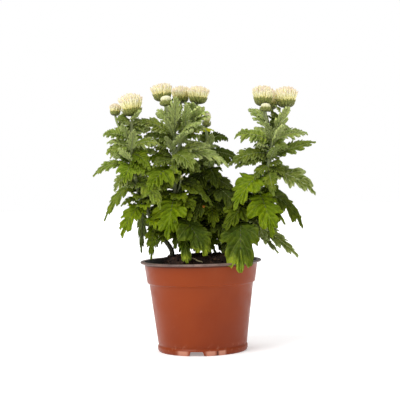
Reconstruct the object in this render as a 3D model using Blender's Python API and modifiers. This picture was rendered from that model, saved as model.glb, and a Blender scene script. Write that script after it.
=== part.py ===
"""A potted chrysanthemum: a nursery pot, its soil, five leafy stems, half-open blooms and buds.

The origin is the bottom centre of the whole plant's box. The plant's own places are written from
the pot's axis at the ground, in millimetres, with X to the right and -Y towards the viewer.
"""

import math
from collections import namedtuple

import bmesh
import bpy
from mathutils import Matrix, Vector, noise
from mathutils.bvhtree import BVHTree

MM = 0.001
POT_AXIS = Vector((-9.0, -1.8, 0.0)) * MM
SHARP_ANGLE = math.radians(35)

# The pot
LIP_RADIUS = 70.0
LIP_THICKNESS = 1.8
POT_HEIGHT = 104.0
COLLAR_TOP = 65.4
COLLAR_BOTTOM = 62.4
COLLAR_FOOT_Z = 79.0
STEP_Z = 77.0
STEP_DEPTH = 2.4
LIP_ROUND = 0.5
COLLAR_FILLET = 1.1
BODY_BOTTOM = 51.2
FOOT_TOP_Z = 8.0
FOOT_BEAD = 52.0
FOOT_BEAD_TOP_Z = 5.6
FOOT_BEAD_LOW_Z = 2.6
FOOT_RADIUS = 50.8
FOOT_WIDTH = 3.6
FOOT_DRAFT = 0.8
WALL = 1.2
FLOOR_Z = 5.4
FLOOR_CORNER = 1.6
POT_STEPS = 36
SOIL_STEPS = 24
NOTCHES = 3
NOTCH_WIDTH = 17.8
NOTCH_TOP_WIDTH = 14.3
NOTCH_HEIGHT = 5.0
FIRST_NOTCH_ANGLE = math.radians(-98)
DRAINS = 6
DRAIN_RADIUS = 4.0
DRAIN_CIRCLE = 33.0
DRAIN_SIDES = 8

# The soil
GAP = 0.3
SOIL_RIM_Z = 95.0
HEAP_Z = 109.0
HEAP_RADIUS = 37.0
HEAP_SLOPE = 14.0
HEAP_WANDER = 4.0
HEAP_PATTERN = 0.05
SOIL_BUMP = 1.3
SOIL_PATTERN = 0.23
SOIL_RINGS = (0, 12, 24, 34, 42, 50, 57)
SOIL_EDGE = 0.4
HOLE_TOP_Z = 144.0
HOLE_SIDES = 12

# The leaves
BLADE = 0.7
PETIOLE = 0.95
CLEARANCE = 0.9
BROAD_WIDTH = 21.0
BEND_SHARE = 0.42
# How steeply a blade folds up from its midrib where the leaf is held up and where it hangs down,
# and how far its tip lies below its base before it counts as hanging
FOLD_HELD = 0.22
FOLD_HANGING = 0.10
HANGING_FALL = 12.0
WAVE = 0.22
WAVE_COUNT = 11.0
WAVE_SIDE = 1.3

# Each place is x, y, z and the radius there.
STALKS = {
    "left": (
        (-33, 0, 84, 2.8), (-33, 0, 114, 2.8), (-46, 0, 135, 2.6), (-59, -1, 160, 2.5),
        (-69, -3, 185, 2.3), (-75, -6, 212, 2.1), (-77, -9, 236, 1.9), (-76, -9, 256, 1.7),
        (-75, -8, 272, 1.6),
    ),
    "left_small": ((-77, -9, 236, 1.6), (-83, -4, 250, 1.4), (-91, 3, 262, 1.3), (-94, 5, 273, 1.3)),
    "centre": (
        (-16, -10, 84, 2.9), (-16, -10, 114, 2.9), (-20, -10, 132, 2.8), (-24, -10, 152, 2.7),
        (-27, -9, 176, 2.5), (-28, -8, 198, 2.4), (-28, -8, 224, 2.1), (-27, -9, 243, 1.8),
        (-28, -10, 262, 1.7), (-35, -10, 277, 1.6), (-40.5, -10, 290, 1.6),
    ),
    "centre_right": ((-28, -8, 222, 1.9), (-18, -6, 243, 1.8), (-8, -4, 262, 1.7), (0, 0, 287, 1.6)),
    "centre_back": ((-27, -9, 240, 1.6), (-25, 2, 262, 1.5), (-21, 10, 278, 1.4), (-20, 12, 290, 1.4)),
    "centre_bud": ((-28, -10, 260, 1.3), (-32, -19, 271, 1.2), (-34.6, -23, 282, 1.2)),
    "low_bud": ((-27, -9, 180, 1.1), (-22, -18, 189, 1.0), (-20.8, -20, 197, 0.9)),
    "middle": (
        (10, 14, 84, 2.7), (10, 14, 114, 2.7), (13, 16, 160, 2.5), (12, 15, 205, 2.2),
        (11, 12, 240, 1.8), (10, 8, 259, 1.5),
    ),
    "right": (
        (32, -2, 84, 3.0), (32, -2, 114, 3.0), (45, -2, 136, 2.8), (58, -3, 160, 2.6),
        (70, -5, 185, 2.4), (80, -8, 207, 2.3), (86, -8, 237, 2.1), (92, -4, 254, 1.8),
        (100, 0, 268, 1.6), (103, 2, 280, 1.6),
    ),
    "right_left": ((85.5, -8, 234, 1.8), (84, -8, 252, 1.7), (79, -8, 268, 1.6), (75.4, -8, 282, 1.6)),
    "right_back": ((86, -8, 238, 1.5), (88, 4, 258, 1.4), (89, 16, 279, 1.3)),
    "right_bud": ((84, -8, 250, 1.3), (81, -14, 262, 1.2), (78.6, -17, 274, 1.2)),
    "back": (
        (-4, 34, 84, 2.5), (-4, 34, 114, 2.5), (0, 36, 145, 2.3), (3, 37, 180, 2.0), (1, 35, 214, 1.5),
    ),
}
# A head's own frame starts this far below its stalk's end, and the cup and petals stand that
# much above it, so that the stalk reaches into the cup.
SEAT = 1.0
# How far each outer shoot leans away from the viewer for each millimetre above the soil
LEFT_LEAN = -0.11
RIGHT_LEAN = 0.09
LEAN = {
    "left": LEFT_LEAN, "left_small": LEFT_LEAN,
    "right": RIGHT_LEAN, "right_left": RIGHT_LEAN, "right_back": RIGHT_LEAN, "right_bud": RIGHT_LEAN,
}
LEAN_FROM_Z = 114.0
# Each node's stalks, its main one first.
STEMS = {
    "stem_left": ("left", "left_small"),
    "stem_centre": ("centre", "centre_right", "centre_back", "centre_bud", "low_bud"),
    "stem_middle": ("middle",),
    "stem_right": ("right", "right_left", "right_back", "right_bud"),
    "stem_back": ("back",),
}
# Each head's stalk, its width and height with the green cup, and how far it leans to the right.
BLOOMS = {
    "bloom_left_large": ("left", 24.5, 24.5, -2),
    "bloom_left_small": ("left_small", 13.5, 14.0, -14),
    "bloom_centre_left": ("centre", 22.5, 23.0, -8),
    "bloom_centre_back": ("centre_back", 18.5, 19.0, 0),
    "bloom_centre_right": ("centre_right", 23.5, 21.0, 6),
    "bloom_right_left": ("right_left", 24.5, 23.0, -5),
    "bloom_right_right": ("right", 25.0, 22.5, 8),
    "bloom_right_back": ("right_back", 12.0, 15.0, 0),
}
BUDS = {
    "bud_centre": ("centre_bud", 12.5, 9.5, -5),
    "bud_side": ("middle", 7.5, 14.0, 8),
    "bud_right": ("right_bud", 11.5, 8.0, 4),
    "bud_low": ("low_bud", 4.6, 5.0, 5),
}
BLOOM_SIZE = 24.5
# The rings of a green cup, from its foot up its outside and down into its hollow. Each gives how
# far out a bract's tip and the gap between two bracts lie, in head widths, and then how high.
BLOOM_CUP = (
    (0.094, 0.094, -0.060, -0.060),
    (0.410, 0.410, 0.120, 0.120),
    (0.512, 0.452, 0.390, 0.222),
    (0.481, 0.419, 0.384, 0.218),
    (0.366, 0.366, 0.143, 0.143),
    (0.150, 0.150, 0.057, 0.057),
)
BUD_CUP = (
    (0.20, 0.20, -0.12, -0.12),
    (0.51, 0.49, 0.16, 0.14),
    (0.63, 0.58, 0.62, 0.26),
    (0.59, 0.53, 0.60, 0.25),
    (0.18, 0.18, 0.02, 0.02),
)
# Each ring of petals: how many, the first one's turn, where they start and end (radius, height),
# half their width and their depth.
PETAL_RINGS = (
    (9, 0.0, (7.9, 4.6), (12.0, 21.0), 2.9, 2.4),
    (5, 0.3, (6.6, 15.2), (9.2, 23.6), 3.0, 2.5),
    (3, 0.1, (3.2, 15.2), (4.4, 24.6), 2.8, 2.4),
)
PETAL_BELLY_OUT = 0.80
PETAL_BELLY_UP = 0.58
PETAL_ROOT = 0.7
# The core's radius at its foot and its top, its height and the height of its middle
CORE = (6.6, 8.4, 12.0, 10.4)
CORE_SIDES = 9
# How far a bloom's foot would hang over its cup if both stood at the same height, in head widths
CUP_PLAY = 0.042
HEAD_TURN = 0.4
BUD_RIDGES = 6
BUD_RINGS = 6
BUD_RIDGE_DEPTH = 0.09
BUD_TOP_FULLNESS = 0.12
BUD_SEAT = 0.12
Leaf = namedtuple("Leaf", "stalk base tip arch width tilt")

# Each leaf that the front view shows: its stalk, the height where it grows, its tip, the rise of
# its arch, its width and how far its near edge is tipped down, in degrees.
FRONT_LEAVES = (
    ("right", 142, (43, -64, 96), 19, 38, 0),
    ("right", 180, (82, -44, 131), 9, 36, 0),
    ("centre", 178, (-38, -46, 133), 9, 42, 0),
    ("centre", 152, (6, -50, 113), 9, 36, 0),
    ("centre", 211, (-57, -42, 187), 6, 34, 18),
    ("right", 198, (43, -42, 161), 6, 30, 18),
    ("left", 209, (-119, -18, 203), 9, 24, 48),
    ("right", 219, (137, -14, 237), 1, 22, 52),
    ("right", 206, (132, -28, 174), 8, 26, 34),
    ("right", 238, (43, -24, 248), 4, 25, 46),
    ("right", 223, (35, -22, 215), 8, 21, 48),
    ("right", 239, (128, -4, 246), 3, 19, 48),
    ("centre", 246, (-73, -24, 264), 4, 23, 48),
    ("centre", 221, (35, -30, 212), 12, 20, 42),
    ("centre", 224, (13, -34, 236), 4, 20, 42),
    ("centre", 255, (-22, -26, 290), 1, 22, 0),
    ("centre", 193, (16, -36, 167), 8, 26, 18),
    ("left", 234, (-42, -20, 234), 7, 21, 48),
    ("left", 245, (-107, -18, 250), 3, 18, 52),
    ("left", 231, (-103, -26, 229), 3, 19, 44),
    ("left", 215, (-83, -38, 196), 5, 24, 18),
    ("left", 205, (-95, -34, 186), 5, 16, 18),
    ("left", 188, (-108, -20, 149), 9, 14, 42),
    ("left", 171, (-85, -36, 132), 8, 24, 18),
    ("left", 181, (-88, -14, 171), 3, 7, 34),
    ("left", 154, (-67, 10, 111), 4, 13, 34),
    ("left", 145, (-45, 4, 121), 4, 10, 18),
    ("centre", 208, (-77, -4, 179), 6, 24, 34),
    ("centre", 230, (-60, 2, 231), 6, 18, 48),
    ("centre", 262, (-47, -20, 280), 2, 14, 34),
    ("centre", 136, (-15, -54, 105), 8, 14, 0),
    ("centre", 140, (-37, -8, 113), 4, 5, 18),
    ("centre_right", 257, (2, -20, 281), 2, 15, 15),
    ("centre_right", 252, (14, -16, 268), 3, 15, 42),
    ("centre_right", 248, (19, -12, 253), 3, 8, 42),
    ("middle", 238, (35, 22, 240), 6, 14, 48),
    ("middle", 228, (49, 2, 217), 7, 18, 42),
    ("middle", 168, (16, -18, 142), 7, 22, 0),
    ("middle", 198, (39, 26, 191), 6, 20, 42),
    ("right_left", 247, (60, -14, 278), 3, 17, 42),
    ("right", 243, (103, -28, 279), 2, 17, 0),
    ("right", 181, (119, 4, 136), 12, 22, 34),
    ("right", 158, (74, -34, 119), 8, 20, 0),
    ("right", 150, (112, -20, 108), 6, 19, 42),
    ("right", 140, (88, 16, 111), 8, 8, 34),
    ("right", 190, (42, 16, 176), 6, 18, 34),
    ("middle", 152, (34, -24, 121), 8, 28, 10),
    ("middle", 188, (45, -8, 160), 8, 28, 25),
    ("right", 166, (29, -24, 134), 8, 28, 25),
    ("middle", 215, (32, -12, 195), 7, 22, 25),
    ("left", 196, (-43, -24, 166), 8, 24, 25),
    ("centre", 166, (-60, -18, 138), 9, 26, 30),
    ("middle", 206, (-12, -12, 182), 7, 26, 25),
    ("middle", 142, (-8, -24, 117), 8, 26, 10),
    ("centre", 240, (3, -26, 260), 4, 20, 35),
    ("centre", 240, (-52, -4, 258), 4, 16, 40),
    ("right", 218, (106, -18, 194), 6, 20, 35),
    ("right", 228, (60, -24, 200), 7, 20, 30),
    ("left", 226, (-54, -20, 208), 7, 20, 30),
    ("right", 258, (114, -8, 262), 3, 12, 40),
    ("back", 176, (28, 22, 150), 8, 26, 25),
    ("centre", 215, (-58, -14, 221), 4, 23, 36),
    ("left", 221, (-60, -34, 199), 5, 20, 15),
    ("centre", 214, (2, -28, 206), 6, 22, 25),
    ("centre", 234, (-6, -22, 263), 3, 20, 20),
    ("centre_right", 250, (-12, -13, 283), 2, 13, 20),
    ("centre_right", 262, (13, -8, 279), 2, 13, 40),
    ("centre", 172, (2, -26, 157), 6, 24, 15),
    ("middle", 148, (30, -8, 112), 6, 20, 10),
    ("right", 205, (46, -20, 194), 6, 20, 25),
    ("right", 212, (61, -22, 199), 4, 15, 25),
    ("right", 208, (99, -26, 198), 4, 14, 25),
    ("left", 149, (-56, -12, 118), 4, 12, 15),
)
# The leaves behind: their stalk, the lowest and highest height, how many, and the spread to
# either side of straight back, in degrees.
BACK_LEAVES = (
    ("left", 140, 240, 5, 55),
    ("centre", 150, 250, 4, 45),
    ("middle", 130, 240, 5, 60),
    ("right", 150, 240, 5, 55),
    ("back", 128, 214, 6, 80),
)
GOLDEN_STEP = 0.618
BACK_LOW_Z = 130.0
BACK_HIGH_Z = 245.0
BACK_SHRINK = 0.42
BACK_REACH = 42.0
BACK_ARCH = 8.0
BACK_WIDTH = 30.0
BACK_TILT = 10.0
BACK_FALL_LOW = -34.0
BACK_FALL_HIGH = 10.0

# A leaf that meets something is turned aside and raised or lowered in steps until it is clear.
ASIDE_STEPS = 8
LIFT_STEPS = 5
LIFT_COST = 1.5
FRONT_ASIDE = 4.0
FRONT_LIFT = 2.5
BACK_ASIDE = math.radians(6)
BACK_LIFT = 4.0

# A leaf's outline: how far along the midrib, and how far out as a share of the width.
BROAD_EDGE = (
    (0, 0), (0.16, 0), (0.30, 0.43), (0.38, 0.29), (0.58, 0.54), (0.66, 0.36), (0.85, 0.34), (1, 0),
)
BROAD_SPINE = (0, 0.16, 0.24, 0.36, 0.48, 0.62, 0.76, 1)
NARROW_EDGE = ((0, 0), (0.14, 0), (0.40, 0.48), (0.50, 0.34), (0.74, 0.44), (1, 0))
NARROW_SPINE = (0, 0.14, 0.32, 0.48, 0.64, 1)

# The pot and the soil as a leaf meets them: radius and height.
POT_TOP = (
    (0, 112), (30, 112), (42, 104), (63.8, 97), (64.9, 104.3), (70.3, 104.3), (70.3, 101.3),
    (65.6, 100.8), (62.6, 79), (60.2, 77), (51, 5),
)
POT_TOP_STEPS = 24
# The space round a head: shares of its half width and of its height
HEAD_RINGS = ((0.5, 0.0), (0.98, 0.14), (1.08, 0.36), (1.05, 0.7), (0.88, 1.0))
HEAD_SIDES = 10

COLOURS = {
    "pot": (0.319, 0.065, 0.026),
    "soil": (0.020, 0.012, 0.008),
    "leaf": (0.120, 0.230, 0.020),
    "petal": (0.880, 0.800, 0.520),
    "bud": (0.800, 0.780, 0.430),
}


def clear_scene():
    for obj in list(bpy.data.objects):
        bpy.data.objects.remove(obj, do_unlink=True)


def new_collection(name, hidden=False):
    made = bpy.data.collections.new(name)
    bpy.context.scene.collection.children.link(made)
    made.hide_render = hidden
    return made


def new_material(name, colour, roughness):
    material = bpy.data.materials.new(name)
    material.use_nodes = True
    shader = material.node_tree.nodes["Principled BSDF"]
    shader.inputs["Base Color"].default_value = (*colour, 1)
    shader.inputs["Roughness"].default_value = roughness
    shader.inputs["Metallic"].default_value = 0
    return material


def new_object(name, mesh, collection, material=None):
    obj = bpy.data.objects.new(name, mesh)
    collection.objects.link(obj)
    if material:
        mesh.materials.clear()
        mesh.materials.append(material)
    return obj


def mesh_from(points, faces, name):
    mesh = bpy.data.meshes.new(name)
    mesh.from_pydata([Vector(point) * MM for point in points], [], faces)
    mesh.update()
    return mesh


def evaluated_mesh(obj, name):
    """The object's mesh with its modifiers applied and its doubles merged."""
    graph = bpy.context.evaluated_depsgraph_get()
    mesh = bpy.data.meshes.new_from_object(obj.evaluated_get(graph))
    mesh.name = name
    shape = bmesh.new()
    shape.from_mesh(mesh)
    bmesh.ops.remove_doubles(shape, verts=shape.verts, dist=0.001 * MM)
    shape.to_mesh(mesh)
    shape.free()
    return mesh


def joined(name, first, others):
    """One mesh from the Boolean union of closed meshes that overlap."""
    pieces = new_collection(name + "_pieces")
    body = new_object(name + "_body", first, bpy.context.scene.collection)
    for number, mesh in enumerate(others):
        new_object(f"{name}_piece_{number}", mesh, pieces)
    union = body.modifiers.new("union", "BOOLEAN")
    union.operation = "UNION"
    union.operand_type = "COLLECTION"
    union.collection = pieces
    bpy.context.view_layer.update()
    mesh = evaluated_mesh(body, name)
    mesh.shade_smooth()
    mesh.set_sharp_from_angle(angle=SHARP_ANGLE)
    for obj in [body, *pieces.objects]:
        bpy.data.objects.remove(obj, do_unlink=True)
    bpy.data.collections.remove(pieces)
    return mesh


def turned(name, profile, steps, collection):
    """A closed turned body from a profile that runs down its outer side and back up its inner side."""
    mesh = bpy.data.meshes.new(name)
    edges = [(i, (i + 1) % len(profile)) for i in range(len(profile))]
    if profile[0][0] == 0:
        edges.pop()
    mesh.from_pydata([Vector((radius, 0, z)) * MM for radius, z in profile], edges, [])
    obj = new_object(name, mesh, collection)
    screw = obj.modifiers.new("turn", "SCREW")
    screw.steps = steps
    screw.render_steps = steps
    screw.use_merge_vertices = True
    screw.merge_threshold = 0.00001
    screw.use_smooth_shade = True
    return obj


def cut(obj, cutters):
    """Takes a collection of closed cutters out of an object."""
    hole = obj.modifiers.new("holes", "BOOLEAN")
    hole.operation = "DIFFERENCE"
    hole.operand_type = "COLLECTION"
    hole.collection = cutters


def add_cutter(mesh_name, mesh, collection):
    cutter = new_object(mesh_name, mesh, collection)
    cutter.hide_render = True
    cutter.display_type = "WIRE"
    return cutter


def pot_outer_radius(z):
    """The pot body's outer radius below the collar."""
    top = COLLAR_BOTTOM - STEP_DEPTH
    share = (z - FOOT_TOP_Z) / (STEP_Z - FOOT_TOP_Z)
    return BODY_BOTTOM + (top - BODY_BOTTOM) * share


def pot_inside():
    """The inside of the pot, from the floor up to the lip."""
    floor = FLOOR_Z + WALL
    corner = floor + FLOOR_CORNER
    thick = WALL / 3
    return (
        (pot_outer_radius(floor) - WALL - FLOOR_CORNER, floor),
        (pot_outer_radius(corner) - WALL, corner),
        (pot_outer_radius(STEP_Z) - WALL, STEP_Z + thick),
        (COLLAR_BOTTOM - WALL, COLLAR_FOOT_Z + thick),
        (COLLAR_TOP - WALL, POT_HEIGHT - LIP_THICKNESS),
    )


def pot_profile():
    lip_under = POT_HEIGHT - LIP_THICKNESS
    outer = [
        (COLLAR_TOP, POT_HEIGHT),
        (LIP_RADIUS - LIP_ROUND, POT_HEIGHT),
        (LIP_RADIUS, POT_HEIGHT - LIP_ROUND),
        (LIP_RADIUS, lip_under + LIP_ROUND),
        (LIP_RADIUS - LIP_ROUND, lip_under),
        (COLLAR_TOP + COLLAR_FILLET, lip_under),
        (COLLAR_TOP, lip_under - COLLAR_FILLET),
        (COLLAR_BOTTOM, COLLAR_FOOT_Z),
        (pot_outer_radius(STEP_Z), STEP_Z),
        (BODY_BOTTOM, FOOT_TOP_Z),
        (FOOT_BEAD, FOOT_BEAD_TOP_Z),
        (FOOT_BEAD, FOOT_BEAD_LOW_Z),
        (FOOT_RADIUS, 0),
        (FOOT_RADIUS - FOOT_WIDTH, 0),
        (FOOT_RADIUS - FOOT_WIDTH - FOOT_DRAFT, FLOOR_Z),
        (0, FLOOR_Z),
    ]
    return outer + [(0, FLOOR_Z + WALL), *pot_inside()]


def notch_cutter(angle):
    """A short block, narrower at its top, that stands across the foot ring."""
    inner, outer = FOOT_RADIUS - 2 * FOOT_WIDTH, FOOT_BEAD + FOOT_WIDTH
    shape = bmesh.new()
    bmesh.ops.create_cube(shape, size=1)
    for vertex in shape.verts:
        width = NOTCH_TOP_WIDTH if vertex.co.z > 0 else NOTCH_WIDTH
        vertex.co.x = inner + (outer - inner) * (vertex.co.x + 0.5)
        vertex.co.y *= width
        vertex.co.z = NOTCH_HEIGHT if vertex.co.z > 0 else -1
    mesh = bpy.data.meshes.new("notch")
    shape.to_mesh(mesh)
    shape.free()
    mesh.transform(Matrix.Rotation(angle, 4, "Z") @ Matrix.Scale(MM, 4))
    return mesh


def cylinder_mesh(name, radius, low, high, sides, centre=(0, 0)):
    shape = bmesh.new()
    place = Matrix.Translation(Vector((*centre, (low + high) / 2)) * MM)
    bmesh.ops.create_cone(
        shape, cap_ends=True, segments=sides, radius1=radius * MM, radius2=radius * MM,
        depth=(high - low) * MM, matrix=place,
    )
    mesh = bpy.data.meshes.new(name)
    shape.to_mesh(mesh)
    shape.free()
    return mesh


def make_pot(parts, cutters):
    pot = turned("pot", pot_profile(), POT_STEPS, parts)
    holes = bpy.data.collections.new("pot_cutters")
    cutters.children.link(holes)
    for number in range(NOTCHES):
        angle = FIRST_NOTCH_ANGLE + number * math.tau / NOTCHES
        add_cutter(f"notch_{number}", notch_cutter(angle), holes)
    for number in range(DRAINS):
        angle = FIRST_NOTCH_ANGLE + (number + 0.5) * math.tau / DRAINS
        centre = (DRAIN_CIRCLE * math.cos(angle), DRAIN_CIRCLE * math.sin(angle))
        drain = cylinder_mesh(
            "drain", DRAIN_RADIUS, FLOOR_Z - WALL, FLOOR_Z + 2 * WALL, DRAIN_SIDES, centre,
        )
        add_cutter(f"drain_{number}", drain, holes)
    cut(pot, holes)
    pot.data.materials.append(new_material("pot_plastic", COLOURS["pot"], 0.45))
    return pot


def soil_height(x, y):
    """The soil's top: a low ring at the wall and a crumbly heap round the stems."""
    radius = math.hypot(x, y)
    edge = HEAP_RADIUS + HEAP_WANDER * noise.noise(Vector((x, y, HEAP_RADIUS)) * HEAP_PATTERN)
    share = min(1, max(0, (radius - edge) / HEAP_SLOPE))
    heap = HEAP_Z - (HEAP_Z - SOIL_RIM_Z) * share * share * (3 - 2 * share)
    return heap + SOIL_BUMP * noise.noise(Vector((x, y, 0)) * SOIL_PATTERN)


def soil_profile():
    inside = [(radius - GAP, z) for radius, z in pot_inside()[:4]]
    inside[0] = (inside[0][0], FLOOR_Z + WALL + GAP)
    slope = (COLLAR_TOP - COLLAR_BOTTOM) / (POT_HEIGHT - LIP_THICKNESS - COLLAR_FOOT_Z)
    rim = COLLAR_BOTTOM - WALL - GAP + slope * (SOIL_RIM_Z - COLLAR_FOOT_Z) - SOIL_EDGE
    top = [(radius, HEAP_Z) for radius in SOIL_RINGS]
    return top + [(rim, SOIL_RIM_Z)] + inside[::-1] + [(0, FLOOR_Z + WALL + GAP)]


def make_soil(parts, cutters):
    draft = turned("soil_draft", soil_profile(), SOIL_STEPS, parts)
    mesh = evaluated_mesh(draft, "soil")
    bpy.data.objects.remove(draft, do_unlink=True)
    for vertex in mesh.vertices:
        x, y, z = vertex.co / MM
        if z > SOIL_RIM_Z - 1:
            vertex.co.z = soil_height(x, y) * MM
    soil = new_object("soil", mesh, parts, new_material("potting_soil", COLOURS["soil"], 0.95))
    holes = bpy.data.collections.new("soil_cutters")
    cutters.children.link(holes)
    for stalks in STEMS.values():
        x, y, z, radius = STALKS[stalks[0]][0]
        wide = (radius + GAP) / math.cos(math.pi / HOLE_SIDES)
        hole = cylinder_mesh("hole", wide, z - GAP, HOLE_TOP_Z, HOLE_SIDES, (x, y))
        add_cutter("hole_" + stalks[0], hole, holes)
    cut(soil, holes)
    return soil


def leaned(stalk, place):
    """A place of a shoot, moved back or forward as the shoot leans."""
    moved = Vector(place)
    moved.y += LEAN.get(stalk, 0) * max(0, moved.z - LEAN_FROM_Z)
    return moved


def smooth_path(stalk, steps=2):
    """Points and radii on a smooth curve through the places of a stalk."""
    knots = [leaned(stalk, place) for place in STALKS[stalk]]
    knots = [2 * knots[0] - knots[1], *knots, 2 * knots[-1] - knots[-2]]
    path = []
    for a, b, c, d in zip(knots, knots[1:], knots[2:], knots[3:]):
        straight = b.xy == c.xy
        for step in range(1 if straight else steps):
            t = step / steps
            path.append(
                0.5 * (2 * b + (c - a) * t + (2 * a - 5 * b + 4 * c - d) * t * t
                       + (3 * b - a - 3 * c + d) * t ** 3)
            )
    return path + [knots[-2]]


def tube_mesh(name):
    """A round stalk along its places, as a closed mesh."""
    path = smooth_path(name)
    curve = bpy.data.curves.new(name, "CURVE")
    curve.dimensions = "3D"
    curve.bevel_depth = MM
    curve.bevel_resolution = 1
    curve.use_fill_caps = True
    spline = curve.splines.new("POLY")
    spline.points.add(len(path) - 1)
    for point, (x, y, z, radius) in zip(spline.points, path):
        point.co = (x * MM, y * MM, z * MM, 1)
        point.radius = radius
    obj = new_object(name, curve, bpy.context.scene.collection)
    bpy.context.view_layer.update()
    mesh = evaluated_mesh(obj, name)
    bpy.data.objects.remove(obj, do_unlink=True)
    bpy.data.curves.remove(curve)
    return mesh


def point_at_height(stalk, z):
    """The point on a stalk's middle line at a height."""
    path = smooth_path(stalk)
    for low, high in zip(path, path[1:]):
        if low.z <= z <= high.z:
            return low.lerp(high, (z - low.z) / (high.z - low.z)).to_3d()
    raise ValueError(f"{stalk} doesn't reach {z}")


def midrib(leaf, share):
    """A point of the leaf's arched midrib and the direction it runs in there."""
    bend = leaf.base.lerp(leaf.tip, BEND_SHARE) + Vector((0, 0, 2 * leaf.arch))
    point = leaf.base.lerp(bend, share).lerp(bend.lerp(leaf.tip, share), share)
    along = (bend - leaf.base).lerp(leaf.tip - bend, share).normalized()
    return point, along


def leaf_frame(leaf, share):
    """The midrib's point, the direction out to the leaf's left, and the way its top faces."""
    point, along = midrib(leaf, share)
    out = (leaf.tip - leaf.base).to_2d().normalized()
    left = Vector((-out.y, out.x, 0))
    up = along.cross(left).normalized()
    turn = math.radians(leaf.tilt) * (1 if out.x >= 0 else -1)
    across = left * math.cos(turn) + up * math.sin(turn)
    face = up * math.cos(turn) - left * math.sin(turn)
    return point, across, face


def leaf_lift(leaf, share, out):
    """How far the blade lies above its midrib: folded up along the middle and waved at its edge."""
    fold = FOLD_HELD if leaf.tip.z > leaf.base.z - HANGING_FALL else FOLD_HANGING
    side = WAVE_SIDE if out > 0 else -WAVE_SIDE
    wave = WAVE * math.sin(WAVE_COUNT * share + leaf.width + side)
    return abs(out) * (fold + wave)


def blade(leaf, grow=0.0, first=0):
    """Points and triangles of a leaf's closed blade, grown on all sides by a clearance."""
    edge, spine = (BROAD_EDGE, BROAD_SPINE) if leaf.width > BROAD_WIDTH else (NARROW_EDGE, NARROW_SPINE)
    middle, sides = [], ([], [])
    for number in range(first, len(spine)):
        point, _, face = leaf_frame(leaf, spine[number])
        middle.append((point, face))
        share, out = edge[number]
        reach = max(out * leaf.width, PETIOLE) + grow
        if share == 1:
            continue
        for row, side in zip(sides, (1, -1)):
            root, across, face = leaf_frame(leaf, share)
            lift = leaf_lift(leaf, share, side * reach)
            row.append((root + across * (side * reach) + face * lift, face))
    rows = middle + sides[0] + sides[1]
    thick = BLADE / 2 + grow
    points = [point + face * thick for point, face in rows]
    points += [point - face * thick for point, face in rows]
    count, last = len(rows), len(middle) - 1
    starts = (len(middle), len(middle) + last)
    top = []
    for i in range(last):
        for start, side in zip(starts, (1, -1)):
            a, b = i, i + 1
            c, d = start + i, start + i + 1
            pair = [(a, b, c)] if b == last else [(a, d, c), (a, b, d)]
            top += [face if side > 0 else face[::-1] for face in pair]
    faces = top + [tuple(index + count for index in reversed(face)) for face in top]
    rim = [last] + [starts[0] + i for i in reversed(range(last))]
    rim += [0] + [starts[1] + i for i in range(last)]
    for a, b in zip(rim, rim[1:] + rim[:1]):
        faces += [(a, a + count, b + count), (a, b + count, b)]
    return points, faces


class Room:
    """What a new leaf has to stay clear of: a search tree and its box for each thing in its way."""

    def __init__(self):
        self.things = []

    def add(self, points, faces, node=None):
        self.things.append((BVHTree.FromPolygons(points, faces), box_of(points), node))

    def holds(self, leaf, node):
        """Whether a leaf of this node, with its clearance, touches nothing."""
        whole, free = blade(leaf, CLEARANCE), blade(leaf, CLEARANCE, 1)
        trees = [BVHTree.FromPolygons(*free), BVHTree.FromPolygons(*whole)]
        low, high = box_of(whole[0])
        for tree, (other_low, other_high), owner in self.things:
            if any(low[i] > other_high[i] or high[i] < other_low[i] for i in range(3)):
                continue
            if trees[0 if owner == node else 1].overlap(tree):
                return False
        return True


def box_of(points):
    return [min(p[i] for p in points) for i in range(3)], [max(p[i] for p in points) for i in range(3)]


def turned_surface(profile, steps):
    points = []
    for radius, z in profile:
        for step in range(steps):
            angle = step * math.tau / steps
            points.append(Vector((radius * math.cos(angle), radius * math.sin(angle), z)))
    faces = []
    for ring in range(len(profile) - 1):
        for step in range(steps):
            after = (step + 1) % steps
            a, b = ring * steps + step, ring * steps + after
            faces.append((a, b, b + steps, a + steps))
    return points, faces


def head_space(name, table):
    """A rounded space that a bloom or a bud takes up."""
    stalk, width, height, lean = table[name]
    wide = width / 2 + GAP
    tall = height * (1 + BUD_SEAT) + SEAT + GAP
    points, faces = turned_surface([(wide * out, tall * up) for out, up in HEAD_RINGS], HEAD_SIDES)
    ends = [range(HEAD_SIDES), range(len(points) - HEAD_SIDES, len(points))]
    place = head_place(stalk, lean)
    return [place @ point for point in points], faces + ends


def head_place(stalk, lean):
    """The frame of a head: at its stalk's end, leaning to the right by a few degrees."""
    x, y, z, _ = leaned(stalk, STALKS[stalk][-1])
    return Matrix.Translation((x, y, z - SEAT)) @ Matrix.Rotation(math.radians(lean), 4, "Y")


def choices(leaf, behind):
    """The leaf as drawn, then turned aside further and further."""
    tries = []
    for aside in range(-ASIDE_STEPS, ASIDE_STEPS + 1):
        for lift in range(-LIFT_STEPS, LIFT_STEPS + 1):
            tries.append((abs(aside) + LIFT_COST * abs(lift), aside, lift))
    for _, aside, lift in sorted(tries):
        if behind:
            turn = Matrix.Rotation(BACK_ASIDE * aside, 3, "Z")
            tip = leaf.base + turn @ (leaf.tip - leaf.base) + Vector((0, 0, BACK_LIFT * lift))
        else:
            tip = leaf.tip + Vector((0, FRONT_ASIDE * aside, FRONT_LIFT * lift))
        yield leaf._replace(tip=tip)


def node_of(stalk):
    return next(node for node, stalks in STEMS.items() if stalk in stalks)


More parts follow.
